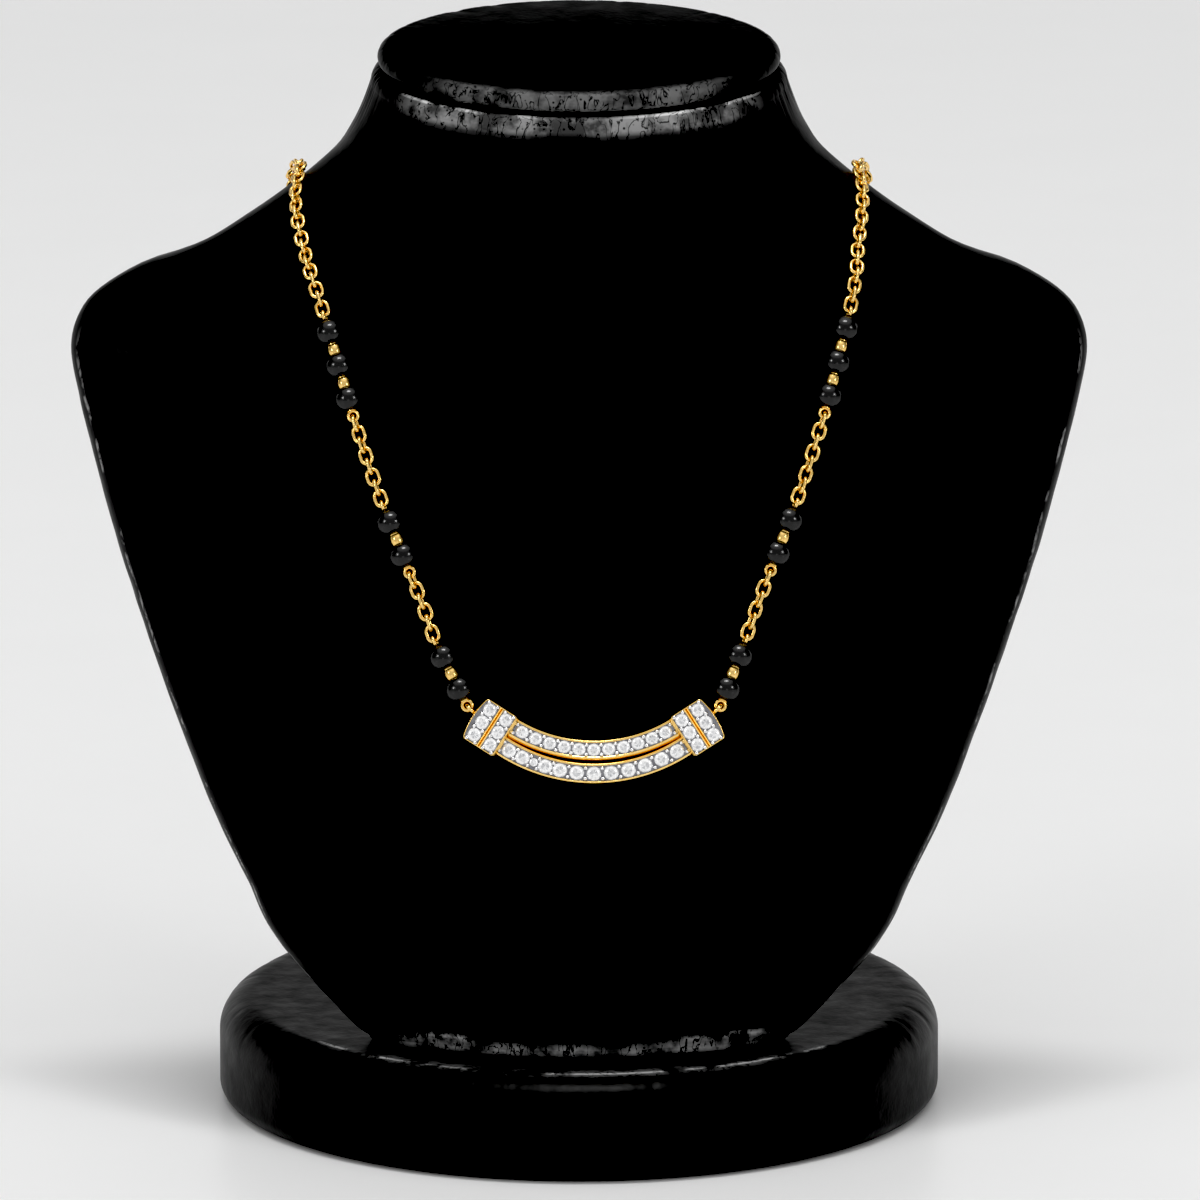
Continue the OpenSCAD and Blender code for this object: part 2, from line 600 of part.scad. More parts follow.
on_pin(-1, pin_1_at, 3, 1.5) gold_bead();  // left_gold_bead_1
on_pin(-1, pin_1_at, 3, 0.5) gold_bead();  // left_gold_bead_2
on_pin(-1, pin_2_at, 2, 0.5) gold_bead();  // left_gold_bead_3
on_pin(-1, pin_3_at, 2, 0.5) gold_bead();  // left_gold_bead_4
on_pin(1, pin_1_at, 3, 1.5) gold_bead();  // right_gold_bead_1
on_pin(1, pin_1_at, 3, 0.5) gold_bead();  // right_gold_bead_2
on_pin(1, pin_2_at, 2, 0.5) gold_bead();  // right_gold_bead_3
on_pin(1, pin_3_at, 2, 0.5) gold_bead();  // right_gold_bead_4
pin(-1, pin_1_at, 3);  // left_eye_pin_1
pin(-1, pin_2_at, 2);  // left_eye_pin_2
pin(-1, pin_3_at, 2);  // left_eye_pin_3
pin(1, pin_1_at, 3);  // right_eye_pin_1
pin(1, pin_2_at, 2);  // right_eye_pin_2
pin(1, pin_3_at, 2);  // right_eye_pin_3
chain(-1, lower_chain_at, lower_links, link_pitch);  // left_lower_chain
chain(-1, middle_chain_at, middle_links, link_pitch);  // left_middle_chain
upper_chain(-1);  // left_upper_chain
chain(1, lower_chain_at, lower_links, link_pitch);  // right_lower_chain
chain(1, middle_chain_at, middle_links, link_pitch);  // right_middle_chain
upper_chain(1);  // right_upper_chain
clasp();
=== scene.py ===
# %% [markdown]
# # A mangalsutra on a covered neck bust
#
# The necklace is gold links, black glass beads and a two-row pendant of white stones. It hangs on a bust
# whose base, torso and neck cap are wrapped in thin black leatherette. Chains, pins and beads come from
# the CAD model as they are. The wrapped pieces and the pendant are built again here, finer.

import math

import bpy
import numpy as np
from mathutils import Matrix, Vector


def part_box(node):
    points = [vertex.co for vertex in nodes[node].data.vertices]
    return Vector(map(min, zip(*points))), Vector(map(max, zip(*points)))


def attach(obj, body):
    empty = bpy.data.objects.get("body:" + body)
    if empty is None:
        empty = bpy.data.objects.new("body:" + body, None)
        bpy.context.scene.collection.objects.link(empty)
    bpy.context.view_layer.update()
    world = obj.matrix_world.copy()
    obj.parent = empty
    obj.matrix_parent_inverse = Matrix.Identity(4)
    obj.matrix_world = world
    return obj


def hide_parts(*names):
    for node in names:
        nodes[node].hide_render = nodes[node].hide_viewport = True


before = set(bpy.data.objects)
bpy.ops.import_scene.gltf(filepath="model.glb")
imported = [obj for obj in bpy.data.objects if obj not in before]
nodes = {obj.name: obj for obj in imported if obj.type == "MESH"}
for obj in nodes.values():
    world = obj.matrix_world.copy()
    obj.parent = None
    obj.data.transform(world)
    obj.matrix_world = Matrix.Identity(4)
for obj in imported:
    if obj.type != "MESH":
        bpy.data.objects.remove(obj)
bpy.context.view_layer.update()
MM = 0.001
print("nodes:", len(nodes))

# %% [markdown]
# ## Camera
#
# A long lens two metres away looks a little down on the bust. At that distance the sides stay almost
# parallel, as in a product shot. The sensor's shift puts the bust's middle on column 579 of a frame of
# 1200, a little to the left.

# %% Camera
camera_distance = 2000
camera_rise = math.radians(12.7)
aim_height = 83.5
view_width = 198
sensor_width = 36
frame_pixels = 1200
aim_column = 579
farthest_metres = 50

camera_data = bpy.data.cameras.new("camera")
camera = bpy.data.objects.new("camera", camera_data)
bpy.context.collection.objects.link(camera)
bpy.context.scene.camera = camera
camera.location = (
    0,
    -camera_distance * math.cos(camera_rise) * MM,
    (aim_height + camera_distance * math.sin(camera_rise)) * MM,
)
camera.rotation_euler = (math.pi / 2 - camera_rise, 0, 0)
camera_data.sensor_width = sensor_width
camera_data.lens = sensor_width * camera_distance / view_width
camera_data.shift_x = (frame_pixels / 2 - aim_column) / frame_pixels
camera_data.clip_end = farthest_metres
print("lens in mm:", round(camera_data.lens, 1))

# %% [markdown]
# ## Helpers for finishes
#
# Colours are written as sRGB hex, as a paint chart gives them, and turned to linear light once. One small
# function adds a shader node, and a length in millimetres becomes a pattern's scale.


# %% Colours and nodes
def linear(hex_colour):
    """Linear RGBA of an sRGB hex colour: c / 12.92 below 0.04045, and ((c + 0.055) / 1.055) ** 2.4 above."""
    channels = [int(hex_colour[i : i + 2], 16) / 255 for i in (1, 3, 5)]
    return [c / 12.92 if c <= 0.04045 else ((c + 0.055) / 1.055) ** 2.4 for c in channels] + [1]


def per_metre(size_mm):
    """Scale of a pattern on Object coordinates, in metres, whose cells are size_mm across."""
    return 1 / (size_mm * MM)


def add(tree, kind, inputs=None, **settings):
    """Adds a shader node of a kind. inputs maps a socket's name or number to a value, to the socket that
    feeds it, or to a node whose first output feeds it."""
    node = tree.nodes.new("ShaderNode" + kind)
    for name, value in settings.items():
        setattr(node, name, value)
    for socket, value in (inputs or {}).items():
        if isinstance(value, bpy.types.Node):
            value = value.outputs[0]
        if isinstance(value, bpy.types.NodeSocket):
            tree.links.new(value, node.inputs[socket])
        else:
            node.inputs[socket].default_value = value
    return node


def blank_material(name):
    """A new material with an empty node tree."""
    material = bpy.data.materials.new(name)
    material.use_nodes = True
    material.node_tree.nodes.clear()
    return material, material.node_tree


# A Mix node that mixes colours takes them in its sockets 6 and 7, and gives the result in its output 2
FIRST, SECOND, MIXED = 6, 7, 2

# %% [markdown]
# ## Leatherette
#
# The covering is black coated leatherette: a soft plastic skin, embossed with a fine pebble grain and
# creased where it was stretched. Its face is almost pure black, with a gloss that changes in patches. The
# relief is far finer than the mesh, so patterns in the material draw it. The real grain of about 0.3 mm is
# drawn at 0.7 mm, so that it shows.

# %% Grain, creases and patches
grain_mm = 0.7
crease_mm = 2.4
patch_mm = 5.5

leatherette, tree = blank_material("embossed_black_leatherette")
place = add(tree, "TexCoord").outputs["Object"]
grain = add(tree, "TexVoronoi", {
    "Vector": place, "Scale": per_metre(grain_mm), "Randomness": 0.9
}, feature="F1")
creases = add(tree, "TexNoise", {
    "Vector": place, "Scale": per_metre(crease_mm), "Detail": 2.0, "Roughness": 0.62
})
patches = add(tree, "TexNoise", {
    "Vector": place, "Scale": per_metre(patch_mm), "Detail": 4.0, "Roughness": 0.6
})
gloss = add(tree, "MapRange", {
    "Value": patches, "From Min": 0.3, "From Max": 0.7, "To Min": 0.34, "To Max": 0.46
})
print("grain, creases and patches in mm:", grain_mm, crease_mm, patch_mm)

# %% [markdown]
# Where the skin is pulled over an edge its coating breaks. Cracks are short dark strokes across the edge:
# lines on which a noise, drawn out upwards, is near its middle. Pinholes are the middles of small cells.

# %% Cracks and pinholes
crack_mm = 1.7
pinhole_mm = 1.3
squeeze_up = 0.35

upright = add(tree, "Mapping", {"Vector": place, "Scale": (1.0, 1.0, squeeze_up)})
strokes = add(tree, "TexNoise", {
    "Vector": upright, "Scale": per_metre(crack_mm), "Detail": 3.0, "Distortion": 0.6
})
off_line = add(tree, "Math", {0: strokes, 1: 0.5}, operation="SUBTRACT")
off_line = add(tree, "Math", {0: off_line}, operation="ABSOLUTE")
whole = add(tree, "MapRange", {
    "Value": off_line, "From Min": 0.008, "From Max": 0.03, "To Min": 0.05, "To Max": 1.0
})
pinholes = add(tree, "TexVoronoi", {"Vector": place, "Scale": per_metre(pinhole_mm)})
filled = add(tree, "MapRange", {
    "Value": pinholes.outputs["Distance"], "From Min": 0.12, "From Max": 0.2, "To Min": 0.1, "To Max": 1.0
})
print("cracks and pinholes in mm:", crack_mm, pinhole_mm)

# %% [markdown]
# Two values on each mesh say where the edges get a painted highlight, so it follows the piece's edges. The
# first paints a grey sheen onto the black, unevenly and broken by cracks and pinholes. The second paints a
# thin, near-white highlight line along the edge. A low specular level gives the rest its dull sheen.

# %% Painted sheen on the edges
uneven = add(tree, "MapRange", {
    "Value": patches, "From Min": 0.42, "From Max": 0.58, "To Min": 0.2, "To Max": 1.0
})
painted_sheen = add(tree, "Attribute", attribute_name="painted_sheen", attribute_type="GEOMETRY")
painted_glint = add(tree, "Attribute", attribute_name="painted_glint", attribute_type="GEOMETRY")
wear_and_sheen = painted_sheen.outputs["Fac"]
for share in (uneven, whole, filled):
    wear_and_sheen = add(tree, "Math", {0: wear_and_sheen, 1: share}, operation="MULTIPLY")
patchy = add(tree, "MapRange", {"Value": patches, "From Min": 0.47, "From Max": 0.56})
glint_amount = painted_glint.outputs["Fac"]
for share in (patchy, whole):
    glint_amount = add(tree, "Math", {0: glint_amount, 1: share}, operation="MULTIPLY")
# Painted highlight: a grey sheen and near-white glint lines painted into the black
skin = add(tree, "Mix", {
    "Factor": wear_and_sheen, FIRST: linear("#030303"), SECOND: linear("#9A9A9A")
}, data_type="RGBA")
skin = add(tree, "Mix", {
    "Factor": glint_amount, FIRST: skin.outputs[MIXED], SECOND: linear("#F0F0F0")
}, data_type="RGBA")
grain_bump = add(
    tree, "Bump", {"Height": grain.outputs["Distance"], "Strength": 0.15, "Distance": 0.05 * MM}
)
crease_bump = add(tree, "Bump", {
    "Height": creases, "Strength": 0.3, "Distance": 0.2 * MM, "Normal": grain_bump
})
shader = add(tree, "BsdfPrincipled", {
    "Base Color": skin.outputs[MIXED], "Roughness": gloss, "IOR": 1.45, "Specular IOR Level": 0.17,
    "Normal": crease_bump
})
add(tree, "OutputMaterial", {"Surface": shader})
print("finish:", leatherette.name)

# %% [markdown]
# ## Gold and rhodium
#
# The links, pins, spacers and the pendant's rails are polished gold plate: a warm yellow mirror that turns
# orange where it reflects itself. The floor of the channels and the small beads that hold the stones are
# plated with white rhodium, but the channels' rhodium is drawn dark grey, a painted shade for their
# recesses. All carry the faint waves and hairlines that a polishing wheel leaves. Real hairlines are finer
# than a pixel, so they are drawn 0.25 mm across and change the gloss alone.

# %% Gold and rhodium
polish_mm = 0.9
hairline_mm = 0.25


def polished_metal(name, pale, deep, smooth, wear_and_sheen):
    """A polished plated metal between two colours, with polishing waves in its gloss and surface."""
    material, tree = blank_material(name)
    place = add(tree, "TexCoord").outputs["Object"]
    waves = add(tree, "TexNoise", {"Vector": place, "Scale": per_metre(polish_mm), "Detail": 3.0})
    hairlines = add(tree, "TexNoise", {"Vector": place, "Scale": per_metre(hairline_mm), "Detail": 2.0})
    tone = add(tree, "Mix", {"Factor": waves, FIRST: linear(pale), SECOND: linear(deep)}, data_type="RGBA")
    gloss = add(tree, "MapRange", {
        "Value": hairlines, "From Min": 0.3, "From Max": 0.7, "To Min": smooth, "To Max": wear_and_sheen
    })
    bump = add(tree, "Bump", {"Height": waves, "Strength": 0.08, "Distance": 0.02 * MM})
    shader = add(tree, "BsdfPrincipled", {
        "Base Color": tone.outputs[MIXED], "Metallic": 1.0, "Roughness": gloss, "Normal": bump
    })
    add(tree, "OutputMaterial", {"Surface": shader})
    return material


gold = polished_metal("polished_gold_plate", "#FFE09A", "#F6C566", 0.12, 0.24)
# Painted shade: the channels' white rhodium is drawn dark grey for the shade in their recesses
shaded_rhodium = polished_metal("rhodium_plate_painted_shade", "#9C9CA0", "#6C6C70", 0.2, 0.35)
rhodium_bead = polished_metal("polished_rhodium_beads", "#FFFFFF", "#E2E2E4", 0.1, 0.2)
print("finishes:", gold.name, shaded_rhodium.name, rhodium_bead.name)

# %% [markdown]
# ## Black glass
#
# The black beads are pressed glass, fire polished, so their middle mirrors the lamps sharply. Towards the
# rim the gloss is made duller, because there a bead would mirror the whole white room.

# %% Black glass
glass_wave_mm = 1.6

black_glass, tree = blank_material("fire_polished_black_glass")
place = add(tree, "TexCoord").outputs["Object"]
ripple = add(tree, "TexNoise", {"Vector": place, "Scale": per_metre(glass_wave_mm), "Detail": 2.0})
facing = add(tree, "LayerWeight", {"Blend": 0.35})
polish = add(tree, "MapRange", {"Value": ripple, "To Min": 0.11, "To Max": 0.17})
gloss = add(tree, "Math", {0: facing.outputs["Facing"], 1: 0.5, 2: polish}, operation="MULTIPLY_ADD")
bump = add(tree, "Bump", {"Height": ripple, "Strength": 0.1, "Distance": 0.03 * MM})
shader = add(tree, "BsdfPrincipled", {
    "Base Color": linear("#030303"), "Roughness": gloss, "IOR": 1.55, "Specular IOR Level": 0.55,
    "Normal": bump
})
add(tree, "OutputMaterial", {"Surface": shader})
print("finish:", black_glass.name)

# %% [markdown]
# ## Stones
#
# The white stones are cut cubic zirconia, clear and with an index of 2.15, so each facet flashes or stays
# dark. Light traced through thirty-five such stones comes out as noise. So a stone is opaque here: a value
# on each facet says how much light it sends back, and a hard clear coat mirrors the lamps.

# %% Stones
cloud_mm = 0.5
cloud_share = 0.35

stone, tree = blank_material("cut_cubic_zirconia")
place = add(tree, "TexCoord").outputs["Object"]
flash = add(tree, "Attribute", attribute_name="flash", attribute_type="GEOMETRY")
cloud = add(tree, "TexNoise", {"Vector": place, "Scale": per_metre(cloud_mm), "Detail": 1.0})
lit = add(tree, "Math", {0: cloud, 1: cloud_share, 2: flash.outputs["Fac"]}, operation="MULTIPLY_ADD")
tone = add(tree, "Mix", {
    "Factor": lit, FIRST: linear("#565C68"), SECOND: linear("#FFFFFF")
}, data_type="RGBA")
shader = add(tree, "BsdfPrincipled", {
    "Base Color": tone.outputs[MIXED], "Metallic": 0.15, "Roughness": 0.08, "IOR": 2.15,
    "Coat Weight": 1.0, "Coat Roughness": 0.02, "Coat IOR": 1.9
})
add(tree, "OutputMaterial", {"Surface": shader})
print("finish:", stone.name)

# %% [markdown]
# ## Closed surfaces
#
# Each wrapped piece is a grid of points: rows from the middle of its underside, over its edge, to the
# middle of its top, and columns round it. The first and the last row close in one point each. Modifiers
# could round a plain block, but on a grid each fold and each band of painted sheen is a value at a known
# place.


# %% Closed surfaces
def closed_surface(name, rings, bottom, top, painted_sheen, painted_glint, node):
    """Covering of a CAD node: a mesh of the grid rings[row, column] in mm, closed by the points bottom and
    top. The last two grids are the painted sheen and the painted highlight line at each point of the grid."""
    rows, columns = rings.shape[:2]
    points = np.concatenate([rings.reshape(-1, 3), [bottom], [top]]) * MM
    column = np.arange(columns)
    beside = (column + 1) % columns
    start = np.arange(rows - 1)[:, None] * columns
    quads = np.stack(
        [start + column, start + beside, start + columns + beside, start + columns + column], -1
    ).reshape(-1, 4)
    last = (rows - 1) * columns
    low = np.stack([np.full(columns, rows * columns), beside, column], -1)
    high = np.stack([np.full(columns, rows * columns + 1), last + column, last + beside], -1)
    mesh = bpy.data.meshes.new(name)
    mesh.from_pydata(points.tolist(), [], quads.tolist() + low.tolist() + high.tolist())
    mesh.shade_smooth()
    mesh.materials.append(leatherette)
    # The painted sheen and the painted highlight line become values on the points
    for paint_name, painted in (("painted_sheen", painted_sheen), ("painted_glint", painted_glint)):
        values = np.append(np.broadcast_to(painted, (rows, columns)).reshape(-1), [0, 0])
        mesh.attributes.new(paint_name, "FLOAT", "POINT").data.foreach_set("value", values)
    piece = bpy.data.objects.new(name, mesh)
    bpy.context.collection.objects.link(piece)
    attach(piece, "root")
    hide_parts(node)
    print(name, "has", len(mesh.polygons), "faces")
    return piece


# %% [markdown]
# Where the skin is pulled over an edge it gathers in small folds across that edge, some short and some
# long. They are cut inwards only, so the piece keeps its real size.


# %% Small folds
def waves_round(turns, cells, seed):
    """Random heights from -1 to 1 at equal cells round a closed line, joined by raised cosines."""
    heights = np.random.default_rng(seed).uniform(-1, 1, cells)
    at = (turns % 1) * cells
    cell = np.floor(at).astype(int) % cells
    share = (1 - np.cos(np.pi * (at - np.floor(at)))) / 2
    return heights[cell] * (1 - share) + heights[(cell + 1) % cells] * share


def gathers(turns, away, reach, cells, depth, seed):
    """Depth of folds across an edge: the squares of positive waves, and of others half as wide and half as
    deep, fading with exp(-(away / length) ** 2). length wavers between 0.2 and 1 times the reach."""
    folds = np.clip(waves_round(turns, cells, seed), 0, 1) ** 2
    fine = np.clip(waves_round(turns, cells * 2 + 7, seed + 1), 0, 1) ** 2
    length = reach * (0.6 + 0.4 * waves_round(turns, cells // 2, seed + 2))
    return depth * (folds + 0.5 * fine) * np.exp(-((away / length) ** 2))


# %% [markdown]
# The painted sheen and highlight lines are kept to the front of the bust. Every band of them fades in and
# out with one smooth step.


# %% Where the painted sheen goes
def step(value, low, high):
    """0 below low and 1 above high, with the smooth rise 3t^2 - 2t^3 between. low may be the larger."""
    t = np.clip((value - low) / (high - low), 0, 1)
    return t * t * (3 - 2 * t)


def front_part(angle, end=66, full=40):
    """Share of the painted sheen by the angle from the front in degrees: all of it up to full, none past
    end.
    """
    off_front = np.abs((np.degrees(angle) + 180) % 360 - 180)
    return step(off_front, end, full)


# %% [markdown]
# ## Base
#
# The base is a padded disc in leatherette. Its profile is five parts: underside, small lower rounding,
# wall, large upper rounding and upper side. A bevelled cylinder would have the same profile, but here the
# folds can cross the upper rounding, where they break the highlight.

# %% Base's profile
base_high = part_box("stand_base")[1]
base_r = base_high.x / MM
base_h = base_high.z / MM
base_top_r = 6
base_foot_r = 2.7

quarter = np.radians(np.linspace(0, 90, 25))
foot_arc = np.stack(
    [base_r - base_foot_r + base_foot_r * np.sin(quarter), base_foot_r - base_foot_r * np.cos(quarter)],
    -1,
)
top_arc = np.stack([
    base_r - base_top_r + base_top_r * np.cos(quarter),
    base_h - base_top_r + base_top_r * np.sin(quarter),
], -1)
underside = np.stack([np.linspace(0.05, 0.99, 8) * foot_arc[0, 0], np.zeros(8)], -1)
wall_z = np.linspace(foot_arc[-1, 1], top_arc[0, 1], 10)[1:-1]
wall = np.stack([np.full(len(wall_z), base_r), wall_z], -1)
top_r = np.linspace(0.995, 0.05, 22) * top_arc[-1, 0]
upper_side = np.stack([top_r, np.full(len(top_r), base_h)], -1)
profile = np.concatenate([underside, foot_arc, wall, top_arc, upper_side])
profile_r, profile_z = profile[:, :1], profile[:, 1:]
print("base's radius and height in mm:", round(base_r, 2), round(base_h, 2))

# %% [markdown]
# A fold goes as far inwards as downwards, because it lies on the middle of the rounding. The covering gets
# a painted sheen where the upper side turns into the rounding, with a thin painted highlight line along it.

# %% Base
base_columns = 560
fold_share = 0.7
# Further than any fold or wear reaches
far = 30

turns = np.linspace(0, 1, base_columns, endpoint=False)
round_base = 2 * np.pi * turns
rounding = np.array([base_r - base_top_r, base_h - base_top_r])
away = np.linalg.norm(profile - (rounding + base_top_r * math.sqrt(0.5)), axis=1)[:, None]
fold = gathers(turns, away, reach=6.5, cells=150, depth=0.16, seed=11)
above = profile_z > base_foot_r
radius = profile_r - fold * fold_share
rings = np.stack([
    radius * np.sin(round_base),
    -radius * np.cos(round_base),
    np.maximum(profile_z - fold * fold_share * above, 0),
], -1)
outwards = (profile_r - (base_r - base_top_r)) * above - far * ~above
# Painted sheen and a painted highlight line along the upper rounding, at the front
painted_sheen = 0.3 * step(outwards, -3.2, -1.2) * step(outwards, 2.4, 0.6) * front_part(round_base, 58, 30)
painted_glint = 0.65 * step(np.abs(outwards - 0.2), 0.35, 0.08) * front_part(round_base, 62, 40)
closed_surface("base_covering", rings, [0, 0, 0], [0, 0, base_h], painted_sheen, painted_glint, "stand_base")

# %% [markdown]
# ## Torso
#
# The torso is a padded board: a broad curved chest, thin rounded sides, and an oval neck that leans back.
# It could be sculpted, but then the necklace would no longer lie on it. So its shape is the CAD model's
# own: a table of sections from the base to the neck, joined by smooth curves, and a rule for the outline of
# each section.

# %% Torso's sizes
torso_h = 153.9
shoulder_w = 166.8
chest_d = 27.5
nape_d = 23.5
foot_front = 46
lean = math.radians(14)
neck_tilt = math.radians(10.5)
neck_setback = 4
torso_foot_r = 1.5
neck_edge_r = 2.4
seat_gap = 0.15

# Columns: share of the height, half width, setback, front depth, back depth, depth left at the side,
# squareness of the side, and slope. All but the squareness are shares of their own size.
SECTIONS = np.array([
    [0.000, 0.418, 0.00, 0.545, 0.30, 0.43, 14, 0],
    [0.100, 0.590, 0.00, 0.710, 0.34, 0.34, 18, 0],
    [0.165, 0.655, 0.00, 0.800, 0.37, 0.31, 20, 0],
    [0.245, 0.727, 0.00, 0.870, 0.40, 0.28, 22, 0],
    [0.330, 0.790, 0.00, 0.930, 0.43, 0.26, 24, 0],
    [0.410, 0.845, 0.00, 0.970, 0.45, 0.25, 24, 0],
    [0.493, 0.897, 0.00, 1.000, 0.47, 0.25, 24, 0],
    [0.576, 0.942, 0.00, 0.990, 0.50, 0.25, 24, 0],
    [0.660, 0.984, 0.00, 0.940, 0.53, 0.25, 24, 0],
    [0.712, 1.000, 0.00, 0.890, 0.56, 0.26, 22, 0],
    [0.750, 0.983, 0.00, 0.840, 0.59, 0.27, 18, 0],
    [0.774, 0.944, 0.01, 0.810, 0.62, 0.28, 15, 0.02],
    [0.799, 0.862, 0.04, 0.780, 0.66, 0.31, 12, 0.05],
    [0.812, 0.785, 0.08, 0.770, 0.69, 0.34, 10, 0.08],
    [0.824, 0.730, 0.13, 0.765, 0.72, 0.38, 8, 0.12],
    [0.849, 0.652, 0.28, 0.775, 0.79, 0.47, 6, 0.22],
    [0.874, 0.580, 0.46, 0.800, 0.86, 0.60, 4.5, 0.36],
    [0.911, 0.489, 0.73, 0.835, 0.94, 0.80, 3, 0.60],
    [0.936, 0.453, 0.87, 0.850, 0.98, 0.92, 2.4, 0.78],
    [0.961, 0.429, 0.96, 0.855, 1.00, 0.98, 2.1, 0.92],
    [0.984, 0.412, 1.00, 0.855, 1.00, 1.00, 2, 1],
])
last_share = SECTIONS[-1, 0]
shoulder_y = SECTIONS[0, 3] * chest_d - foot_front
torso_z = base_h + seat_gap
print("sections:", len(SECTIONS))


# %% Torso's surface
def along(table, place):
    """Smooth curve through a table's rows at row numbers that need not be whole: Catmull-Rom."""
    last = len(table) - 1
    row = np.clip(np.floor(place).astype(int), 0, last - 1)
    t = (place - row)[..., None]
    a, b, c, d = (table[np.clip(row + shift, 0, last)] for shift in (-1, 0, 1, 2))
    return 0.5 * (2 * b + (c - a) * t + (2 * a - 5 * b + 4 * c - d) * t**2 + (3 * b - a - 3 * c + d) * t**3)


row_numbers = np.linspace(0, len(SECTIONS) - 1, 10 * (len(SECTIONS) - 1) + 1)
row_shares = along(SECTIONS, row_numbers)[:, 0]


def torso_points(angle, share, inset=0.0, lift=0.0):
    """Points of the torso in mm. x is half width times sin(angle). The depth is that of the section,
    times a blend with cos(angle) cubed and sqrt(1 - |sin(angle)| ** squareness)."""
    section = along(SECTIONS, np.interp(share, row_shares, row_numbers))
    _, width, back, front_d, back_d, edge, square, slope = np.moveaxis(section, -1, 0)
    front = np.cos(angle) >= 0
    edge = np.where(front, edge, (1 + edge) / 2)
    square = np.where(front, square, np.maximum(square / 2, 2))
    depth = np.where(front, front_d * chest_d, back_d * nape_d) - inset
    side = np.sqrt(np.maximum(0, 1 - np.abs(np.sin(angle)) ** square))
    off = depth * (edge + (1 - edge) * np.abs(np.cos(angle)) ** 3) * side * np.where(front, -1, 1)
    rise = share * torso_h
    return np.stack([
        (width * shoulder_w / 2 - inset) * np.sin(angle),
        shoulder_y + rise * math.tan(lean) + back * neck_setback + off,
        torso_z + rise + lift + off * math.tan(neck_tilt) * slope,
    ], -1)


# %% [markdown]
# The columns are closer together at the sides, where the outline bends most. The first rows go round the
# lower edge, and the last ones round the neck's edge.

# %% Torso's grid
columns = 440
spacing = 0.3
foot_rows = 8
side_rows = 165
neck_rows = 24
foot_fade = 1.2

turns = np.linspace(0, 1, columns, endpoint=False)
angle = 2 * np.pi * turns + spacing * np.sin(4 * np.pi * turns)
foot_turn = np.radians(np.linspace(0, 90, foot_rows + 1))[:-1]
neck_turn = np.radians(np.linspace(0, 90, neck_rows + 1))[1:]
shares = last_share * np.linspace(0, 1, side_rows)

row_share = np.concatenate([np.zeros(foot_rows), shares, np.full(neck_rows, last_share)])[:, None]
row_inset = np.concatenate(
    [torso_foot_r * (1 - np.sin(foot_turn)), np.zeros(side_rows), neck_edge_r * (1 - np.cos(neck_turn))]
)[:, None]
row_lift = np.concatenate([
    torso_foot_r * (1 - np.cos(foot_turn)),
    torso_foot_r * np.exp(-shares * torso_h / foot_fade),
    neck_edge_r * np.sin(neck_turn),
])[:, None]
body = torso_points(angle[None, :], row_share, row_inset, row_lift)
print("rows and columns of the torso:", body.shape[:2])

# %% [markdown]
# Folds cross the lower edge and the neck's edge. Slow waves run down the thin sides, where the skin is
# pulled tight over the board's rim.

# %% Torso's folds
side_narrow = 40
side_depth = 0.22
# Less than a whole turn, so that the waves of a side don't come round again
climb = row_share * 0.9

from_foot = row_share * torso_h + 0 * turns
from_neck = (last_share - row_share) * torso_h + row_lift * (row_share == last_share) + 0 * turns
fold = gathers(turns, from_foot, reach=7, cells=130, depth=0.3, seed=21)
fold = fold + gathers(turns, from_neck, reach=6, cells=110, depth=0.2, seed=31)
side_share = np.abs(np.sin(angle)) ** side_narrow
side_waves = waves_round(climb + 0 * turns, cells=26, seed=41)
side_waves = side_waves + 0.5 * waves_round(climb + 0.3 * (turns > 0.5), cells=61, seed=43)
fold = fold + side_depth * side_share * (0.75 + 0.5 * side_waves)
middle = np.array([0, shoulder_y, torso_z]) + row_share[..., None] * torso_h * np.array(
    [0, math.tan(lean), 1]
)
inward = middle - body
inward[..., 2] = 0
inward /= np.linalg.norm(inward, axis=-1, keepdims=True)
body = body + inward * fold[..., None]

# Underside and top close towards their middles
end_steps = (0.05, 0.4, 0.8, 0.97)
foot_middle = body[0].mean(0)
neck_middle = body[-1].mean(0)
foot_rings = [foot_middle + (body[0] - foot_middle) * k for k in end_steps]
neck_rings = [neck_middle + (body[-1] - neck_middle) * k for k in end_steps[::-1]]
rings = np.concatenate([np.array(foot_rings), body, np.array(neck_rings)])
print("deepest fold in mm:", round(float(fold.max()), 2))

# %% [markdown]
# The torso gets a painted sheen along its lower edge and its neck's edge, each with a thin painted
# highlight line. One more painted highlight line runs down each side, a little inside the outline.

# %% Torso
foot_line = 2.6
neck_line = 0.8
side_line = 0.984

aside = np.abs(np.sin(angle))
from_foot = row_share * torso_h + row_lift * (row_share == 0)
over_edge = row_lift * (row_share == last_share) / neck_edge_r
under_edge = (last_share - row_share) * torso_h
# Painted sheen bands on the lower edge and the neck's edge
foot_sheen = step(from_foot, foot_line, 1.2) * step(row_lift + row_share, 0.02, 0.3)
neck_sheen = 0.8 * step(under_edge, 1.2, 0.1) * step(over_edge, 0.9, neck_line)
painted_sheen = np.maximum(foot_sheen, neck_sheen) * front_part(angle)
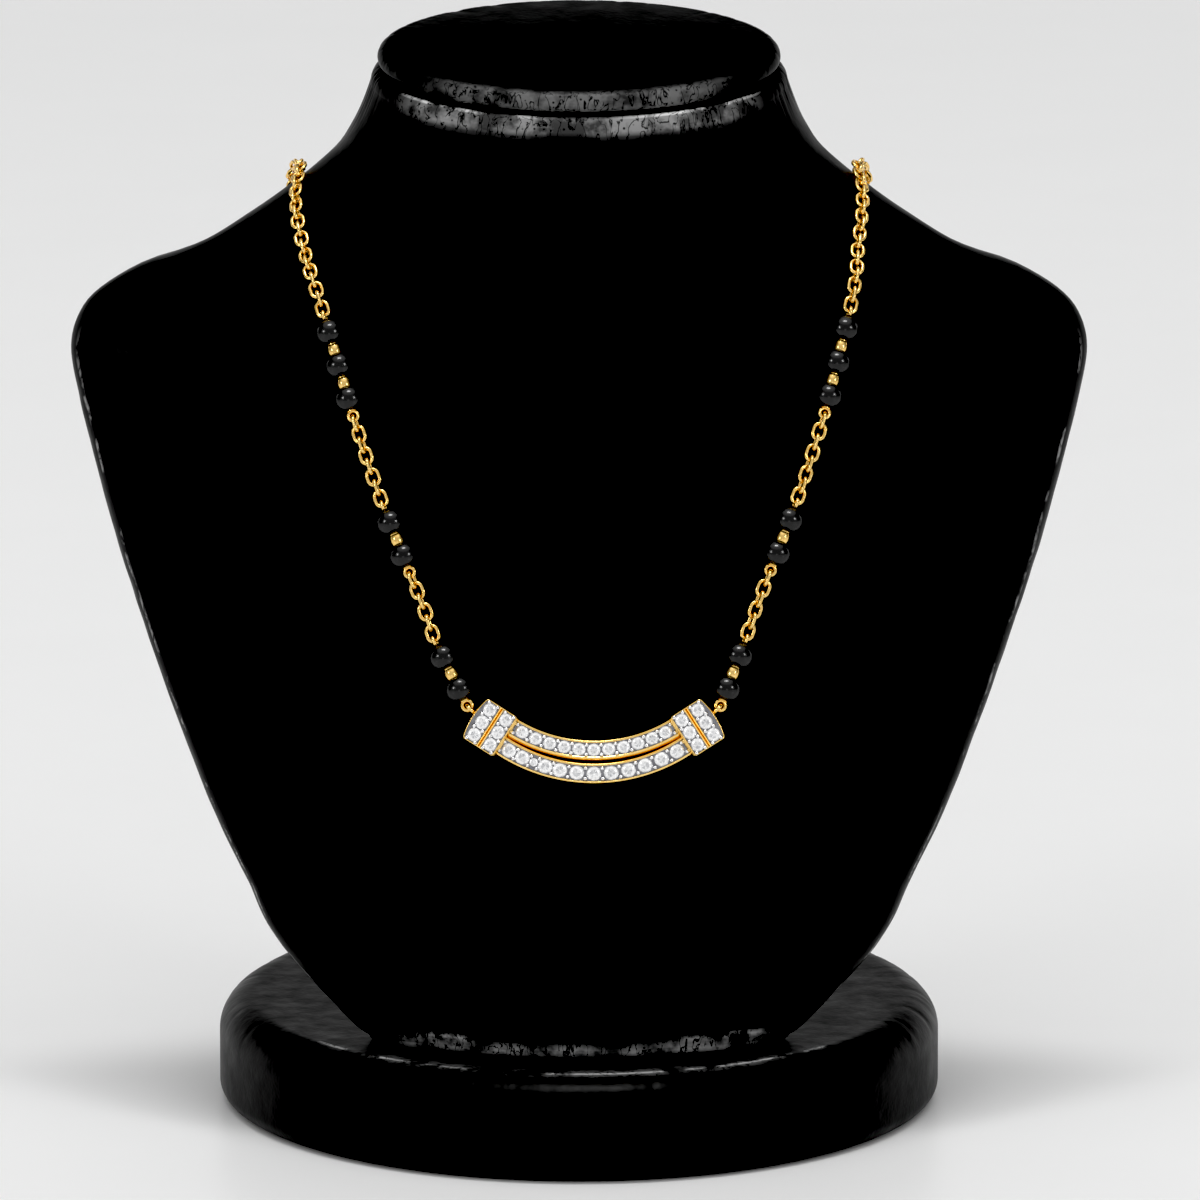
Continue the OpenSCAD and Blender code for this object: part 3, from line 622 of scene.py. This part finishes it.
# Painted highlight lines on those edges and down the sides
foot_glint = 0.6 * step(np.abs(from_foot - foot_line), 0.5, 0.1) * step(aside, 0.35, 0.6)
neck_glint = step(np.abs(over_edge - neck_line), 0.08, 0.03) * step(aside, 0.1, 0.4)
side_x = aside + 0.002 * waves_round(climb, cells=70, seed=47)
side_glint = 0.3 * step(np.abs(side_x - side_line), 0.004, 0.001) * (np.cos(angle) > 0)
side_glint = side_glint * step(row_share, 0.75, 0.66)
painted_glint = np.maximum(np.maximum(foot_glint, neck_glint) * front_part(angle), side_glint)
unworn = np.zeros((len(end_steps), columns))
painted_sheen = np.concatenate([unworn, painted_sheen, unworn])
painted_glint = np.concatenate([unworn, painted_glint, unworn])
closed_surface("torso_covering", rings, foot_middle, neck_middle, painted_sheen, painted_glint, "bust_torso")

# %% [markdown]
# ## Neck cap
#
# A thin padded disc closes the neck. It is an ellipse with a full round edge and a soft dome, tipped
# forwards with the neck, and its skin is gathered over the edge. It is made like the base, so that the two
# look covered by the same hand.

# %% Neck cap's rows
cap_w = 66.2
cap_d = 46
cap_t = 3.4
cap_dome = 1
cap_edge = cap_t / 2
cap_seat = np.array([
    0,
    shoulder_y + last_share * torso_h * math.tan(lean) + neck_setback,
    torso_z + last_share * torso_h + neck_edge_r,
])
edge_turn = np.radians(np.linspace(-90, 90, 33))[:, None]
low_share = np.linspace(0.05, 0.98, 6)[:, None]
dome_share = np.linspace(0.985, 0.05, 30)[:, None]


def cap_reach(half):
    """Distance of each row from the cap's middle: shares of the flat part, then half less the edge's
    radius times 1 - cos(turn), and shares again."""
    flat = half - cap_edge
    return np.concatenate([flat * low_share, half - cap_edge * (1 - np.cos(edge_turn)), flat * dome_share])


half_w = cap_reach(cap_w / 2)
half_d = cap_reach(cap_d / 2)
height = np.concatenate(
    [0 * low_share, cap_edge * (1 + np.sin(edge_turn)), cap_t + cap_dome * (1 - dome_share**2)]
)
print("rows of the cap:", len(height))

# %% Neck cap
cap_columns = 480
cap_fold_share = 0.6

turns = np.linspace(0, 1, cap_columns, endpoint=False)
angle = 2 * np.pi * turns
from_rim = np.abs(half_w - half_w.max())
away = from_rim + np.where(height < cap_edge, far, 0)
fold = gathers(turns, away, reach=4.5, cells=120, depth=0.16, seed=51)
x = (half_w - fold) * np.sin(angle)
y = -(half_d - fold) * np.cos(angle)
z = np.maximum(height - cap_fold_share * fold * (height > cap_edge), 0) + seat_gap + 0 * turns
tip = np.array([
    [1, 0, 0],
    [0, math.cos(neck_tilt), -math.sin(neck_tilt)],
    [0, math.sin(neck_tilt), math.cos(neck_tilt)],
])
rings = np.stack([x, y, z], -1) @ tip.T + cap_seat
under = np.array([0, 0, seat_gap]) @ tip.T + cap_seat
over = np.array([0, 0, seat_gap + cap_t + cap_dome]) @ tip.T + cap_seat
inwards = from_rim * np.where(height > cap_edge, 1, -1)
# Painted sheen over the front of the cap's round edge
painted_sheen = 0.45 * step(inwards, -1.7, -0.6) * step(inwards, 2.8, 0.0) * front_part(angle, 60, 25)
closed_surface("neck_cap_covering", rings, under, over, painted_sheen, 0 * painted_sheen, "neck_cap")

# %% [markdown]
# ## Pendant
#
# Two curved bars of channel-set stones run between two end caps, each with a loop for the chain. The rails
# are gold, the small beads that hold the stones are white, and the channels are white rhodium drawn dark
# grey as a painted shade. All of it is soldered together, so it is one mesh with four materials. It is
# drawn flat, in millimetres, and then laid on a plane a little in front of the chest.

# %% Pendant's plane
hang_offset = 2.4
pendant_share = 0.335
pendant_gap = 0.3
small_turn = math.radians(0.5)
small_climb = 0.004


def chest(angle, share):
    """Point of the torso at one angle and one share of its height."""
    return torso_points(np.array(angle), np.array(share))


turned_by = chest(small_turn, pendant_share) - chest(-small_turn, pendant_share)
climbed_by = chest(0.0, pendant_share + small_climb) - chest(0.0, pendant_share - small_climb)
chest_out = np.cross(turned_by, climbed_by)
chest_out /= np.linalg.norm(chest_out)
seat = chest(0.0, pendant_share) + pendant_gap * chest_out + np.array([hang_offset, 0, 0])
slope = math.atan2(chest_out[2], -chest_out[1])
# Columns of plane: to the right, up the chest, and out of it
plane = np.array([[1, 0, 0], [0, math.sin(slope), -math.cos(slope)], [0, math.cos(slope), math.sin(slope)]])
print("pendant's seat in mm:", seat.round(2), "slope:", round(math.degrees(slope), 2))

# %% [markdown]
# The stones are round brilliants. They are worked out from the circles on which the cut's corners lie,
# because the flash of their facets shows even at this size, and a ball has none.


# %% Brilliant cut
def brilliant(diameter):
    """Points and faces of a round brilliant. Table corners, star points, girdle points and pavilion
    points lie on circles, with heights that keep every kite facet flat."""
    eighth = np.radians(45 * np.arange(8))
    half = eighth + math.radians(22.5)
    table_r, table_z, girdle = 0.275, 0.16, 0.02
    star_r, low_r, culet_z = 0.39, 0.22, -0.43
    crown = (table_z - girdle) / (0.5 - table_r)
    pavilion = (-girdle - culet_z) / 0.5
    flat = math.cos(math.radians(22.5))
    circles = [
        (table_r, table_z, eighth),
        (star_r, table_z - crown * (star_r * flat - table_r), half),
        (0.5, girdle, eighth),
        (0.5, girdle, half),
        (0.5, -girdle, eighth),
        (0.5, -girdle, half),
        (low_r, culet_z + pavilion * low_r * flat, half),
    ]
    points = np.concatenate(
        [np.stack([r * np.cos(a), r * np.sin(a), np.full(8, z)], -1) for r, z, a in circles]
        + [
            np.array([[0, 0, culet_z], [0, 0, table_z]]),
            np.stack(
                [table_r * flat * np.cos(half), table_r * flat * np.sin(half), np.full(8, table_z)], -1
            ),
        ]
    )
    k = np.arange(8)
    n, p = (k + 1) % 8, (k - 1) % 8
    table, star, up, up_half, down, down_half, low = (8 * i + k for i in range(7))
    culet, eye, rim = np.full(8, 56), np.full(8, 57), 58 + k
    faces = []
    for corners in (
        (eye, table, rim),
        (eye, rim, table[n]),
        (table, star, table[n], rim),
        (table, star[p], up, star),
        (up, up_half, star),
        (up_half, up[n], star),
        (up, down, down_half, up_half),
        (up_half, down_half, down[n], up[n]),
        (down, low, down_half),
        (down_half, low, down[n]),
        (culet, low, down, low[p]),
    ):
        faces += np.stack(corners, -1).tolist()
    return points * diameter, faces


# How much light each ring of facets sends back: eight of each kind, in the order of the faces
FACET_LIGHT = np.repeat([0.55, 0.4, 0.75, 1.0, 0.6, 0.9, 0.3, 0.3, 0.2, 0.2, 0.2], 8)

# %% [markdown]
# A bar's stones lie on an arc. Those of the lower bar were set by hand, so their angles are uneven, and
# the third is a small one. Each cap has two columns of three.

# %% Places of the stones
upper_r = 25.1
lower_r = 26.9
row_step = 3.86
upper_stone_d = 2.06
lower_stone_d = 2.3
small_stone_d = 1.36
cap_stone_d = 2.16
bar_t = 1.7
end_t = 2.45
channel_d = 0.55
channel_room = 0.2
girdle_lift = 0.25
upper_pitch = 5.5
upper_turns = [upper_pitch * i for i in range(-5, 6)]
lower_turns = [-30.7, -25.4, -21.2, -17, -11.8, -5.9, 0, 6, 12, 18, 24, 30]
small_one = 2
end_turn = math.radians(147.4)
end_reach = math.radians(38.3)
end_drop = 0.2
end_column = 1.53
end_pitch = cap_stone_d + 0.22
end_middle = np.array([
    -(upper_r + row_step / 2) * math.sin(end_reach),
    upper_r - (upper_r + row_step / 2) * math.cos(end_reach) - end_drop,
])
bar_floor = bar_t - channel_d
cap_floor = end_t - channel_d


def on_row(radius, drop, degrees, height):
    """Place on a bar: radius to the right by sin(turn), and radius less its cosine up, less the drop."""
    turn = math.radians(degrees)
    return [radius * math.sin(turn), radius - drop - radius * math.cos(turn), height]


# For each bar: angles and sizes of its stones, radius, drop, and the stone that its channel is made for
upper_sizes = [upper_stone_d] * len(upper_turns)
lower_sizes = [small_stone_d if i == small_one else lower_stone_d for i in range(len(lower_turns))]
bars = (
    (upper_turns, upper_sizes, upper_r, 0, upper_stone_d),
    (lower_turns, lower_sizes, lower_r, row_step, lower_stone_d),
)
places = [
    (on_row(radius, drop, degrees, bar_floor + girdle_lift), size)
    for bar_turns, sizes, radius, drop, _ in bars
    for degrees, size in zip(bar_turns, sizes)
]
for side in (-1, 1):
    out = np.array([math.cos(end_turn) * -side, math.sin(end_turn)])
    across = np.array([-out[1], out[0]])
    centre = np.array([end_middle[0] * -side, end_middle[1]])
    for column in (-end_column, end_column):
        for row in (-1, 0, 1):
            spot = centre + out * column + across * row * end_pitch
            places.append(([*spot, cap_floor + girdle_lift], cap_stone_d))
print("stones:", len(places))

# %% [markdown]
# ## Pendant's frame
#
# What shows of the frame at this size are its rounded rails: a pale line on top and a deep gold flank
# below. Each part of it is an outline that is carried along a line. A curve with a bevel could do that
# too, but it can't give each strip of the outline its own finish.


# %% Swept solids
# The second finish is the channels' rhodium, darkened as a painted shade
GOLD, SHADED_RHODIUM, GEM, BEAD = range(4)


def fan_volume(points, faces):
    """Six times the signed volume under faces of equally many corners: the sum of a . (b x c) over the
    triangles of each face's fan."""
    first, second, third = points[faces[:, :1]], points[faces[:, 1:-1]], points[faces[:, 2:]]
    return (first * np.cross(second, third)).sum()


def swept(sections, finishes, ring=False, end_finish=GOLD):
    """Closed solid through equal outlines. finishes has the finish of the strip between each point of an
    outline and the next. A ring's last outline joins its first, and other solids get flat ends. All faces
    are turned over where the volume comes out negative."""
    sections = np.asarray(sections, float)
    steps, corners = sections.shape[:2]
    points = sections.reshape(-1, 3)
    index = np.arange(steps * corners).reshape(steps, corners)
    ahead = np.roll(index, -1, axis=0) if ring else index[1:]
    behind = index if ring else index[:-1]
    strips = np.stack([behind, np.roll(behind, -1, axis=1), np.roll(ahead, -1, axis=1), ahead], -1)
    strips = strips.reshape(-1, 4)
    ends = np.stack([index[0][::-1], index[-1]])[: 0 if ring else 2]
    order = -1 if fan_volume(points, strips) + fan_volume(points, ends) < 0 else 1
    marks = list(finishes) * len(behind) + [GOLD, end_finish][: len(ends)]
    return points, strips[:, ::order].tolist() + ends[:, ::order].tolist(), marks


rail_round_h = 0.42
rail_bevel = 0.05


def rail(edge, wall, top, foot):
    """Outline of a rail from its outer edge to the channel's wall: a quarter of an ellipse, then a narrow
    flat top. Rows are place across the bar and height."""
    width = wall - edge
    turn = np.radians(np.arange(0, 91, 15))
    round_side = np.stack(
        [edge + 0.6 * width * (1 - np.cos(turn)), top - rail_round_h * (1 - np.sin(turn))], -1
    )
    flat_top = [[wall - 0.12 * width, top], [wall, top - rail_bevel], [wall, foot]]
    return np.concatenate([[[edge, foot]], round_side, flat_top])


# %% [markdown]
# Each bar is one solid with a narrow rail on both sides of its channel. Only the upper bar's lower rail is
# broad. It slopes away from the stones, faster the further it goes.


# %% Bars
bar_turn = math.radians(37)
bar_steps = 121
rail_w = 0.4
broad_rail_w = 0.74
broad_flat = 0.2
broad_drop = 0.6


def broad_rail(half):
    """Outline of the broad rail from the channel's wall outwards: it falls by drop * share ** 1.5."""
    share = np.linspace(0, 1, 7)[:, None]
    slope_side = np.hstack(
        [half + broad_flat + (broad_rail_w - broad_flat) * share, bar_t - broad_drop * share**1.5]
    )
    top_edge = [[half, bar_t - rail_bevel], [half + 0.06, bar_t]]
    return np.concatenate([top_edge, slope_side, [[half + broad_rail_w, 0]]])


solids = []
for _, _, radius, drop, stone_d in bars:
    half = (stone_d + channel_room) / 2
    upper_rail = rail(-half - rail_w, -half, bar_t, 0)[:-1]
    narrow_rail = rail(half + rail_w, half, bar_t, 0)[:-1][::-1]
    lower_rail = broad_rail(half) if drop == 0 else narrow_rail
    outline = np.concatenate([upper_rail, [[-half, bar_floor], [half, bar_floor]], lower_rail])
    turn = np.linspace(-bar_turn, bar_turn, bar_steps)[:, None]
    reach = radius + outline[:, 0]
    sections = np.stack(
        [reach * np.sin(turn), radius - drop - reach * np.cos(turn), outline[:, 1] + 0 * turn], -1
    )
    finishes = np.full(len(outline), GOLD)
    finishes[len(upper_rail) - 1 : len(upper_rail) + 2] = SHADED_RHODIUM
    solids.append(swept(sections, finishes.tolist()))
print("bars:", len(solids))

# %% [markdown]
# A cap is a plate with a bulging outer side. A rail runs round it, a divider with a V-shaped groove parts
# its two columns of stones, and its inner side leans out to the bars, so that this flank is seen from the
# front. Its corners are soft, because solder and polishing round them off.

# %% Cap's outline
end_l = 7.65
end_w = 5.8
end_bulge = 0.55
cap_corner = 0.5
cap_rail_w = 0.24
arc_steps = 40


def corner(start, middle, end):
    """Rounded corner as a parabola: (1 - t)^2 of start, 2t(1 - t) of middle and t^2 of end."""
    t = np.linspace(0, 1, 7)[:, None]
    return (1 - t) ** 2 * start + 2 * t * (1 - t) * middle + t**2 * end


bulge_r = (end_l**2 / 4 + end_bulge**2) / (2 * end_bulge)
bulge_turn = math.asin(end_l / 2 / bulge_r)
bulge_arc = np.linspace(-bulge_turn, bulge_turn, arc_steps + 1)
bulge_x = end_w / 2 + end_bulge - bulge_r + bulge_r * np.cos(bulge_arc)
arc = np.stack([bulge_x, bulge_r * np.sin(bulge_arc)], -1)
left_low = np.array([-end_w / 2, -end_l / 2])
left_high = np.array([-end_w / 2, end_l / 2])
cut = max(1, round(cap_corner / (end_l / arc_steps)))
along_x, along_y = np.array([cap_corner, 0]), np.array([0, cap_corner])
cap_outline = np.concatenate([
    corner(arc[0] - along_x, arc[0], arc[cut]),
    arc[cut + 1 : -cut - 1],
    corner(arc[-1 - cut], arc[-1], arc[-1] - along_x),
    corner(left_high + along_x, left_high, left_high - along_y),
    corner(left_low + along_y, left_low, left_low + along_x),
])
tangent = np.roll(cap_outline, -1, axis=0) - np.roll(cap_outline, 1, axis=0)
tangent /= np.linalg.norm(tangent, axis=1, keepdims=True)
inward = np.stack([-tangent[:, 1], tangent[:, 0]], -1)
print("points of the cap's outline:", len(cap_outline))

# %% Cap's rim, floor, divider and flank
floor_foot = 0.02
divider_half = 0.35
divider_top = end_t - 0.01
groove_half = 0.17
groove_deep = 0.42
lip = 0.06
flank_out = 0.4
flank_low = bar_t - 0.1
flank_high = end_t - 0.22
flank_in = -end_w / 2 + 0.05


def straight(outline, reach):
    """The same outline of x and z at three places along y, from -reach to reach."""
    x, z = outline.T
    return [np.column_stack([x, np.full(len(x), y), z]) for y in np.linspace(-reach, reach, 3)]


rim = rail(0, cap_rail_w, end_t, 0)
rim_sections = np.concatenate([
    cap_outline[:, None] + inward[:, None] * rim[None, :, :1],
    np.broadcast_to(rim[None, :, 1:], (len(cap_outline), len(rim), 1)),
], -1)
inner = cap_outline + inward * cap_rail_w / 2
floor_sections = [np.column_stack([inner, np.full(len(inner), z)]) for z in (floor_foot, cap_floor)]
half_divider = np.array([
    [divider_half, cap_floor - 0.1],
    [divider_half, end_t - lip],
    [divider_half - lip, divider_top],
    [groove_half, divider_top],
    [groove_half - 0.04, end_t - lip],
])
divider = np.concatenate([half_divider, [[0, end_t - groove_deep]], half_divider[::-1] * [-1, 1]])
divider_finish = [SHADED_RHODIUM] + [GOLD] * (len(divider) - 3) + [SHADED_RHODIUM, SHADED_RHODIUM]
flank = np.array([
    [flank_in, flank_low],
    [-end_w / 2 - flank_out, flank_low],
    [-end_w / 2 - flank_out * 0.85, flank_low + 0.25],
    [-end_w / 2 - 0.02, flank_high],
    [flank_in, flank_high],
])
cap_solids = [
    swept(rim_sections, [GOLD] * (len(rim) - 2) + [SHADED_RHODIUM, GOLD], ring=True),
    swept(floor_sections, [GOLD] * len(inner), end_finish=SHADED_RHODIUM),
    swept(straight(divider, end_l / 2 - 0.12), divider_finish),
    swept(straight(flank, end_l / 2 - 0.3), [GOLD] * len(flank)),
]
print("solids of a cap:", len(cap_solids))

# %% [markdown]
# A loop of wire is soldered to each cap's outer side, and stands on edge for the chain's eye. Cap and loop
# are made once and placed twice. The right ones are mirrored, so their faces are turned over.

# %% Loops and both sides
eye_hole = 1
eye_wire_d = 0.6
eye_r = (eye_hole + eye_wire_d) / 2
eye_sink = 0.3
eye_aside = 0.75
hook_turn = math.radians(134)
eye_reach = end_w / 2 + end_bulge + eye_hole / 2 + eye_wire_d - eye_sink
loop_middle = (
    end_middle
    + eye_reach * np.array([math.cos(end_turn), math.sin(end_turn)])
    + eye_aside * np.array([math.sin(end_turn), -math.cos(end_turn)])
)
wire = np.radians(np.arange(0, 360, 20))
round_eye = np.radians(np.arange(0, 360, 10))[:, None]
wire_reach = eye_r + eye_wire_d / 2 * np.cos(wire)
eye_sections = np.stack([
    wire_reach * np.cos(round_eye),
    eye_wire_d / 2 * np.sin(wire) + 0 * round_eye,
    wire_reach * np.sin(round_eye) + end_t / 2,
], -1)
eye_solids = [swept(eye_sections, [GOLD] * len(wire), ring=True)]


def turned(points, side, turn, middle):
    """Points turned about the normal and moved to a side of the pendant. On the right side they are
    mirrored, which turns their faces over as well."""
    c, s = math.cos(turn), math.sin(turn)
    x = points[:, 0] * c - points[:, 1] * s + middle[0]
    y = points[:, 0] * s + points[:, 1] * c + middle[1]
    return np.stack([x * -side, y, points[:, 2]], -1)


for side in (-1, 1):
    for group, turn, middle in ((cap_solids, end_turn, end_middle), (eye_solids, hook_turn, loop_middle)):
        for points, faces, marks in group:
            placed = turned(points, side, turn, middle)
            solids.append((placed, faces if side < 0 else [face[::-1] for face in faces], marks))
print("solids of the frame:", len(solids))

# %% [markdown]
# Each stone is held by small beads of metal that the setter raised from the channel's floor. They sit in
# pairs in the gaps between two stones. Balls with ten sides are enough for their size.


# %% Holding beads
def ball(centre, radius):
    """A small closed ball: rings of points between two poles."""
    rings = np.radians(np.arange(-60, 61, 30))[:, None]
    around = np.radians(np.arange(0, 360, 36))
    middle = np.stack(
        [np.cos(rings) * np.cos(around), np.cos(rings) * np.sin(around), np.sin(rings) + 0 * around], -1
    )
    points = np.concatenate([[[0, 0, -1]], middle.reshape(-1, 3), [[0, 0, 1]]]) * radius + centre
    index = 1 + np.arange(middle.size // 3).reshape(middle.shape[:2])
    after = np.roll(index, -1, axis=1)
    faces = np.stack([index[:-1], after[:-1], after[1:], index[1:]], -1).reshape(-1, 4).tolist()
    faces += [[0, b, a] for a, b in zip(index[0], after[0])]
    faces += [[len(points) - 1, a, b] for a, b in zip(index[-1], after[-1])]
    return points, faces, [BEAD] * len(faces)


prong_r = 0.36
prong_share = 0.68
prong_margin = 2.9
prong_lift = 0.4
cap_prong_rows = (-1.42, -0.5, 0.5, 1.42)

for bar_turns, sizes, radius, drop, stone_d in bars:
    gaps = [
        (bar_turns[i] * sizes[i + 1] + bar_turns[i + 1] * sizes[i]) / (sizes[i] + sizes[i + 1])
        for i in range(len(bar_turns) - 1)
    ]
    for degrees in [bar_turns[0] - prong_margin] + gaps + [bar_turns[-1] + prong_margin]:
        for side in (-1, 1):
            aside = side * (stone_d + channel_room) / 2 * prong_share
            spot = on_row(radius + aside, drop + aside, degrees, bar_floor + prong_lift)
            solids.append(ball(np.array(spot), prong_r))
for side in (-1, 1):
    for column in (-end_column, end_column):
        for row in cap_prong_rows:
            for across in (-1, 1):
                aside = across * (cap_stone_d + channel_room) / 2 * prong_share
                spot = np.array([[column + aside, row * end_pitch, cap_floor + prong_lift]])
                solids.append(ball(turned(spot, side, end_turn, end_middle)[0], prong_r))
print("solids with the holding beads:", len(solids))

# %% [markdown]
# Now frame, beads and stones go into one mesh. Stones are never set quite level, so each tips by up to
# three degrees, and the light of its facets varies. They are drawn 4 % wider, to hide more of the floor.

# %% Pendant
stone_spread = 1.04
most_tilt = 3
light_change = 0.3
smooth_below = math.radians(32)

chance = np.random.default_rng(7)
tilt = np.radians(chance.uniform(-most_tilt, most_tilt, (len(places), 2)))
pieces = [(points, faces, marks, [1.0] * len(faces)) for points, faces, marks in solids]
for (spot, diameter), (lean_x, lean_y) in zip(places, tilt):
    gem, facets = brilliant(diameter * stone_spread)
    gem[:, 2] += gem[:, 0] * math.tan(lean_x) + gem[:, 1] * math.tan(lean_y)
    light = FACET_LIGHT + chance.uniform(-light_change, light_change, len(facets))
    pieces.append((gem + spot, facets, [GEM] * len(facets), np.clip(light, 0, 1).tolist()))

all_points, all_faces, finish_index, flash_values = [], [], [], []
count = 0
for points, faces, marks, light in pieces:
    all_points.append((points @ plane.T + seat) * MM)
    all_faces += [[point + count for point in face] for face in faces]
    finish_index += marks
    flash_values += light
    count += len(points)

mesh = bpy.data.meshes.new("pendant")
mesh.from_pydata(np.concatenate(all_points).tolist(), [], all_faces)
for finish in (gold, shaded_rhodium, stone, rhodium_bead):
    mesh.materials.append(finish)
mesh.polygons.foreach_set("material_index", finish_index)
mesh.polygons.foreach_set("use_smooth", np.array(finish_index) != GEM)
mesh.set_sharp_from_angle(angle=smooth_below)
mesh.attributes.new("flash", "FLOAT", "FACE").data.foreach_set("value", flash_values)
pendant = bpy.data.objects.new("pendant", mesh)
bpy.context.collection.objects.link(pendant)
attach(pendant, "root")
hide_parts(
    "pendant_frame",
    "upper_row_stones",
    "lower_row_stones",
    "left_cap_stones",
    "right_cap_stones",
)
print("pendant has", len(mesh.polygons), "faces")

# %% [markdown]
# ## Chains, pins and beads
#
# The links are bent wire, and the beads are threaded on pins with an eye at each end. Their shape in the
# CAD model is right, so they keep it and only get their finish.

# %% Finishes of the necklace
shown = {name: piece for name, piece in nodes.items() if not piece.hide_render}
for name, piece in shown.items():
    for material_slot in piece.material_slots:
        material_slot.material = black_glass if "black_bead" in name else gold
print("gold and glass pieces:", len(shown))

# %% [markdown]
# ## Floor
#
# The floor is a satin white board that holds a soft reflection. Its mottle is very faint, and only keeps
# the white from being quite even.

# %% Floor
floor_metres = 24
mottle_mm = 40
board, tree = blank_material("satin_white_board")
place = add(tree, "TexCoord").outputs["Object"]
mottle = add(tree, "TexNoise", {"Vector": place, "Scale": per_metre(mottle_mm), "Detail": 4.0})
tone = add(tree, "Mix", {
    "Factor": mottle, FIRST: linear("#F0F0F0"), SECOND: linear("#F3F3F3")
}, data_type="RGBA")
shader = add(tree, "BsdfPrincipled", {"Base Color": tone.outputs[MIXED], "Roughness": 0.32, "IOR": 1.3})
add(tree, "OutputMaterial", {"Surface": shader})
half = floor_metres / 2
floor_mesh = bpy.data.meshes.new("floor")
floor_mesh.from_pydata(
    [(-half, -half, 0), (half, -half, 0), (half, half, 0), (-half, half, 0)], [], [(0, 1, 2, 3)]
)
floor_mesh.materials.append(board)
floor = bpy.data.objects.new("floor", floor_mesh)
bpy.context.collection.objects.link(floor)
print("finish:", board.name)

# %% [markdown]
# ## Lamps
#
# A wide softbox hangs over the bust, and two smaller ones stand at its sides, so each bead shows one broad
# and two small lights. Two narrow ones behind draw the thin rims down the sides, and a weak card in front
# lifts what faces the camera.


# %% Lamps
def softbox(name, place_mm, aim_mm, width_mm, height_mm, watts):
    """A rectangular lamp at a place, turned to the point that it lights."""
    lamp = bpy.data.lights.new(name, "AREA")
    lamp.shape = "RECTANGLE"
    lamp.size = width_mm * MM
    lamp.size_y = height_mm * MM
    lamp.energy = watts
    holder = bpy.data.objects.new(name, lamp)
    bpy.context.collection.objects.link(holder)
    holder.location = Vector(place_mm) * MM
    aim = (Vector(aim_mm) - Vector(place_mm)).normalized()
    holder.rotation_euler = aim.to_track_quat("-Z", "Y").to_euler()
    return holder


softbox("top_softbox", (0, -350, 3000), (0, 0, 60), 950, 420, 28)
softbox("left_softbox", (-1150, -1000, 650), (0, 0, 60), 260, 320, 3)
softbox("right_softbox", (1150, -1000, 650), (0, 0, 60), 260, 320, 3)
softbox("left_strip", (-1000, 420, 330), (0, 0, 90), 120, 700, 0.4)
softbox("right_strip", (1000, 420, 330), (0, 0, 90), 120, 700, 0.4)
softbox("front_card", (0, -2400, 130), (0, 0, 70), 600, 500, 0.6)

# %% [markdown]
# ## Studio
#
# The studio's ceiling is one big diffuser, so the floor is evenly lit to the far edge of the frame. Below
# it the room is brighter on the camera's side than behind the bust, apart from the white backdrop, which
# glows low down behind it. All of it is a world whose light depends on the direction alone, so nothing of
# the studio has to be built.

# %% Studio
ceiling_light = 1.0
front_light = 0.62
back_light = 0.08
backdrop_light = 0.7

world = bpy.data.worlds.new("studio")
world.use_nodes = True
tree = world.node_tree
tree.nodes.clear()
direction = add(tree, "TexCoord").outputs["Generated"]
parts = add(tree, "SeparateXYZ", {"Vector": direction})
around = add(tree, "MapRange", {
    "Value": parts.outputs["Y"], "From Min": -0.7, "From Max": 0.3, "To Min": front_light,
    "To Max": back_light
}, interpolation_type="SMOOTHSTEP")
glow = add(tree, "MapRange", {
    "Value": parts.outputs["Z"], "From Min": 0.66, "From Max": 0.84, "To Min": around,
    "To Max": ceiling_light
}, interpolation_type="SMOOTHSTEP")
low = add(tree, "MapRange", {
    "Value": parts.outputs["Z"], "From Min": 0.24, "From Max": 0.4, "To Min": backdrop_light,
    "To Max": 0.0
})
behind = add(tree, "MapRange", {"Value": parts.outputs["Y"], "From Min": 0.1, "From Max": 0.5})
glow = add(tree, "Math", {0: low, 1: behind, 2: glow}, operation="MULTIPLY_ADD")
sky = add(tree, "Background", {"Color": linear("#FFFFFF"), "Strength": glow})
add(tree, "OutputWorld", {"Surface": sky})
bpy.context.scene.world = world
print("world:", world.name)

# %% [markdown]
# The picture is developed without a film curve, and its blacks are drawn down as in a product shot.

# %% Development
black_point = 0.026
view = bpy.context.scene.view_settings
view.view_transform = "Standard"
view.use_curve_mapping = True
view.curve_mapping.black_level = (black_point, black_point, black_point)
view.curve_mapping.update()
print("black point:", black_point)
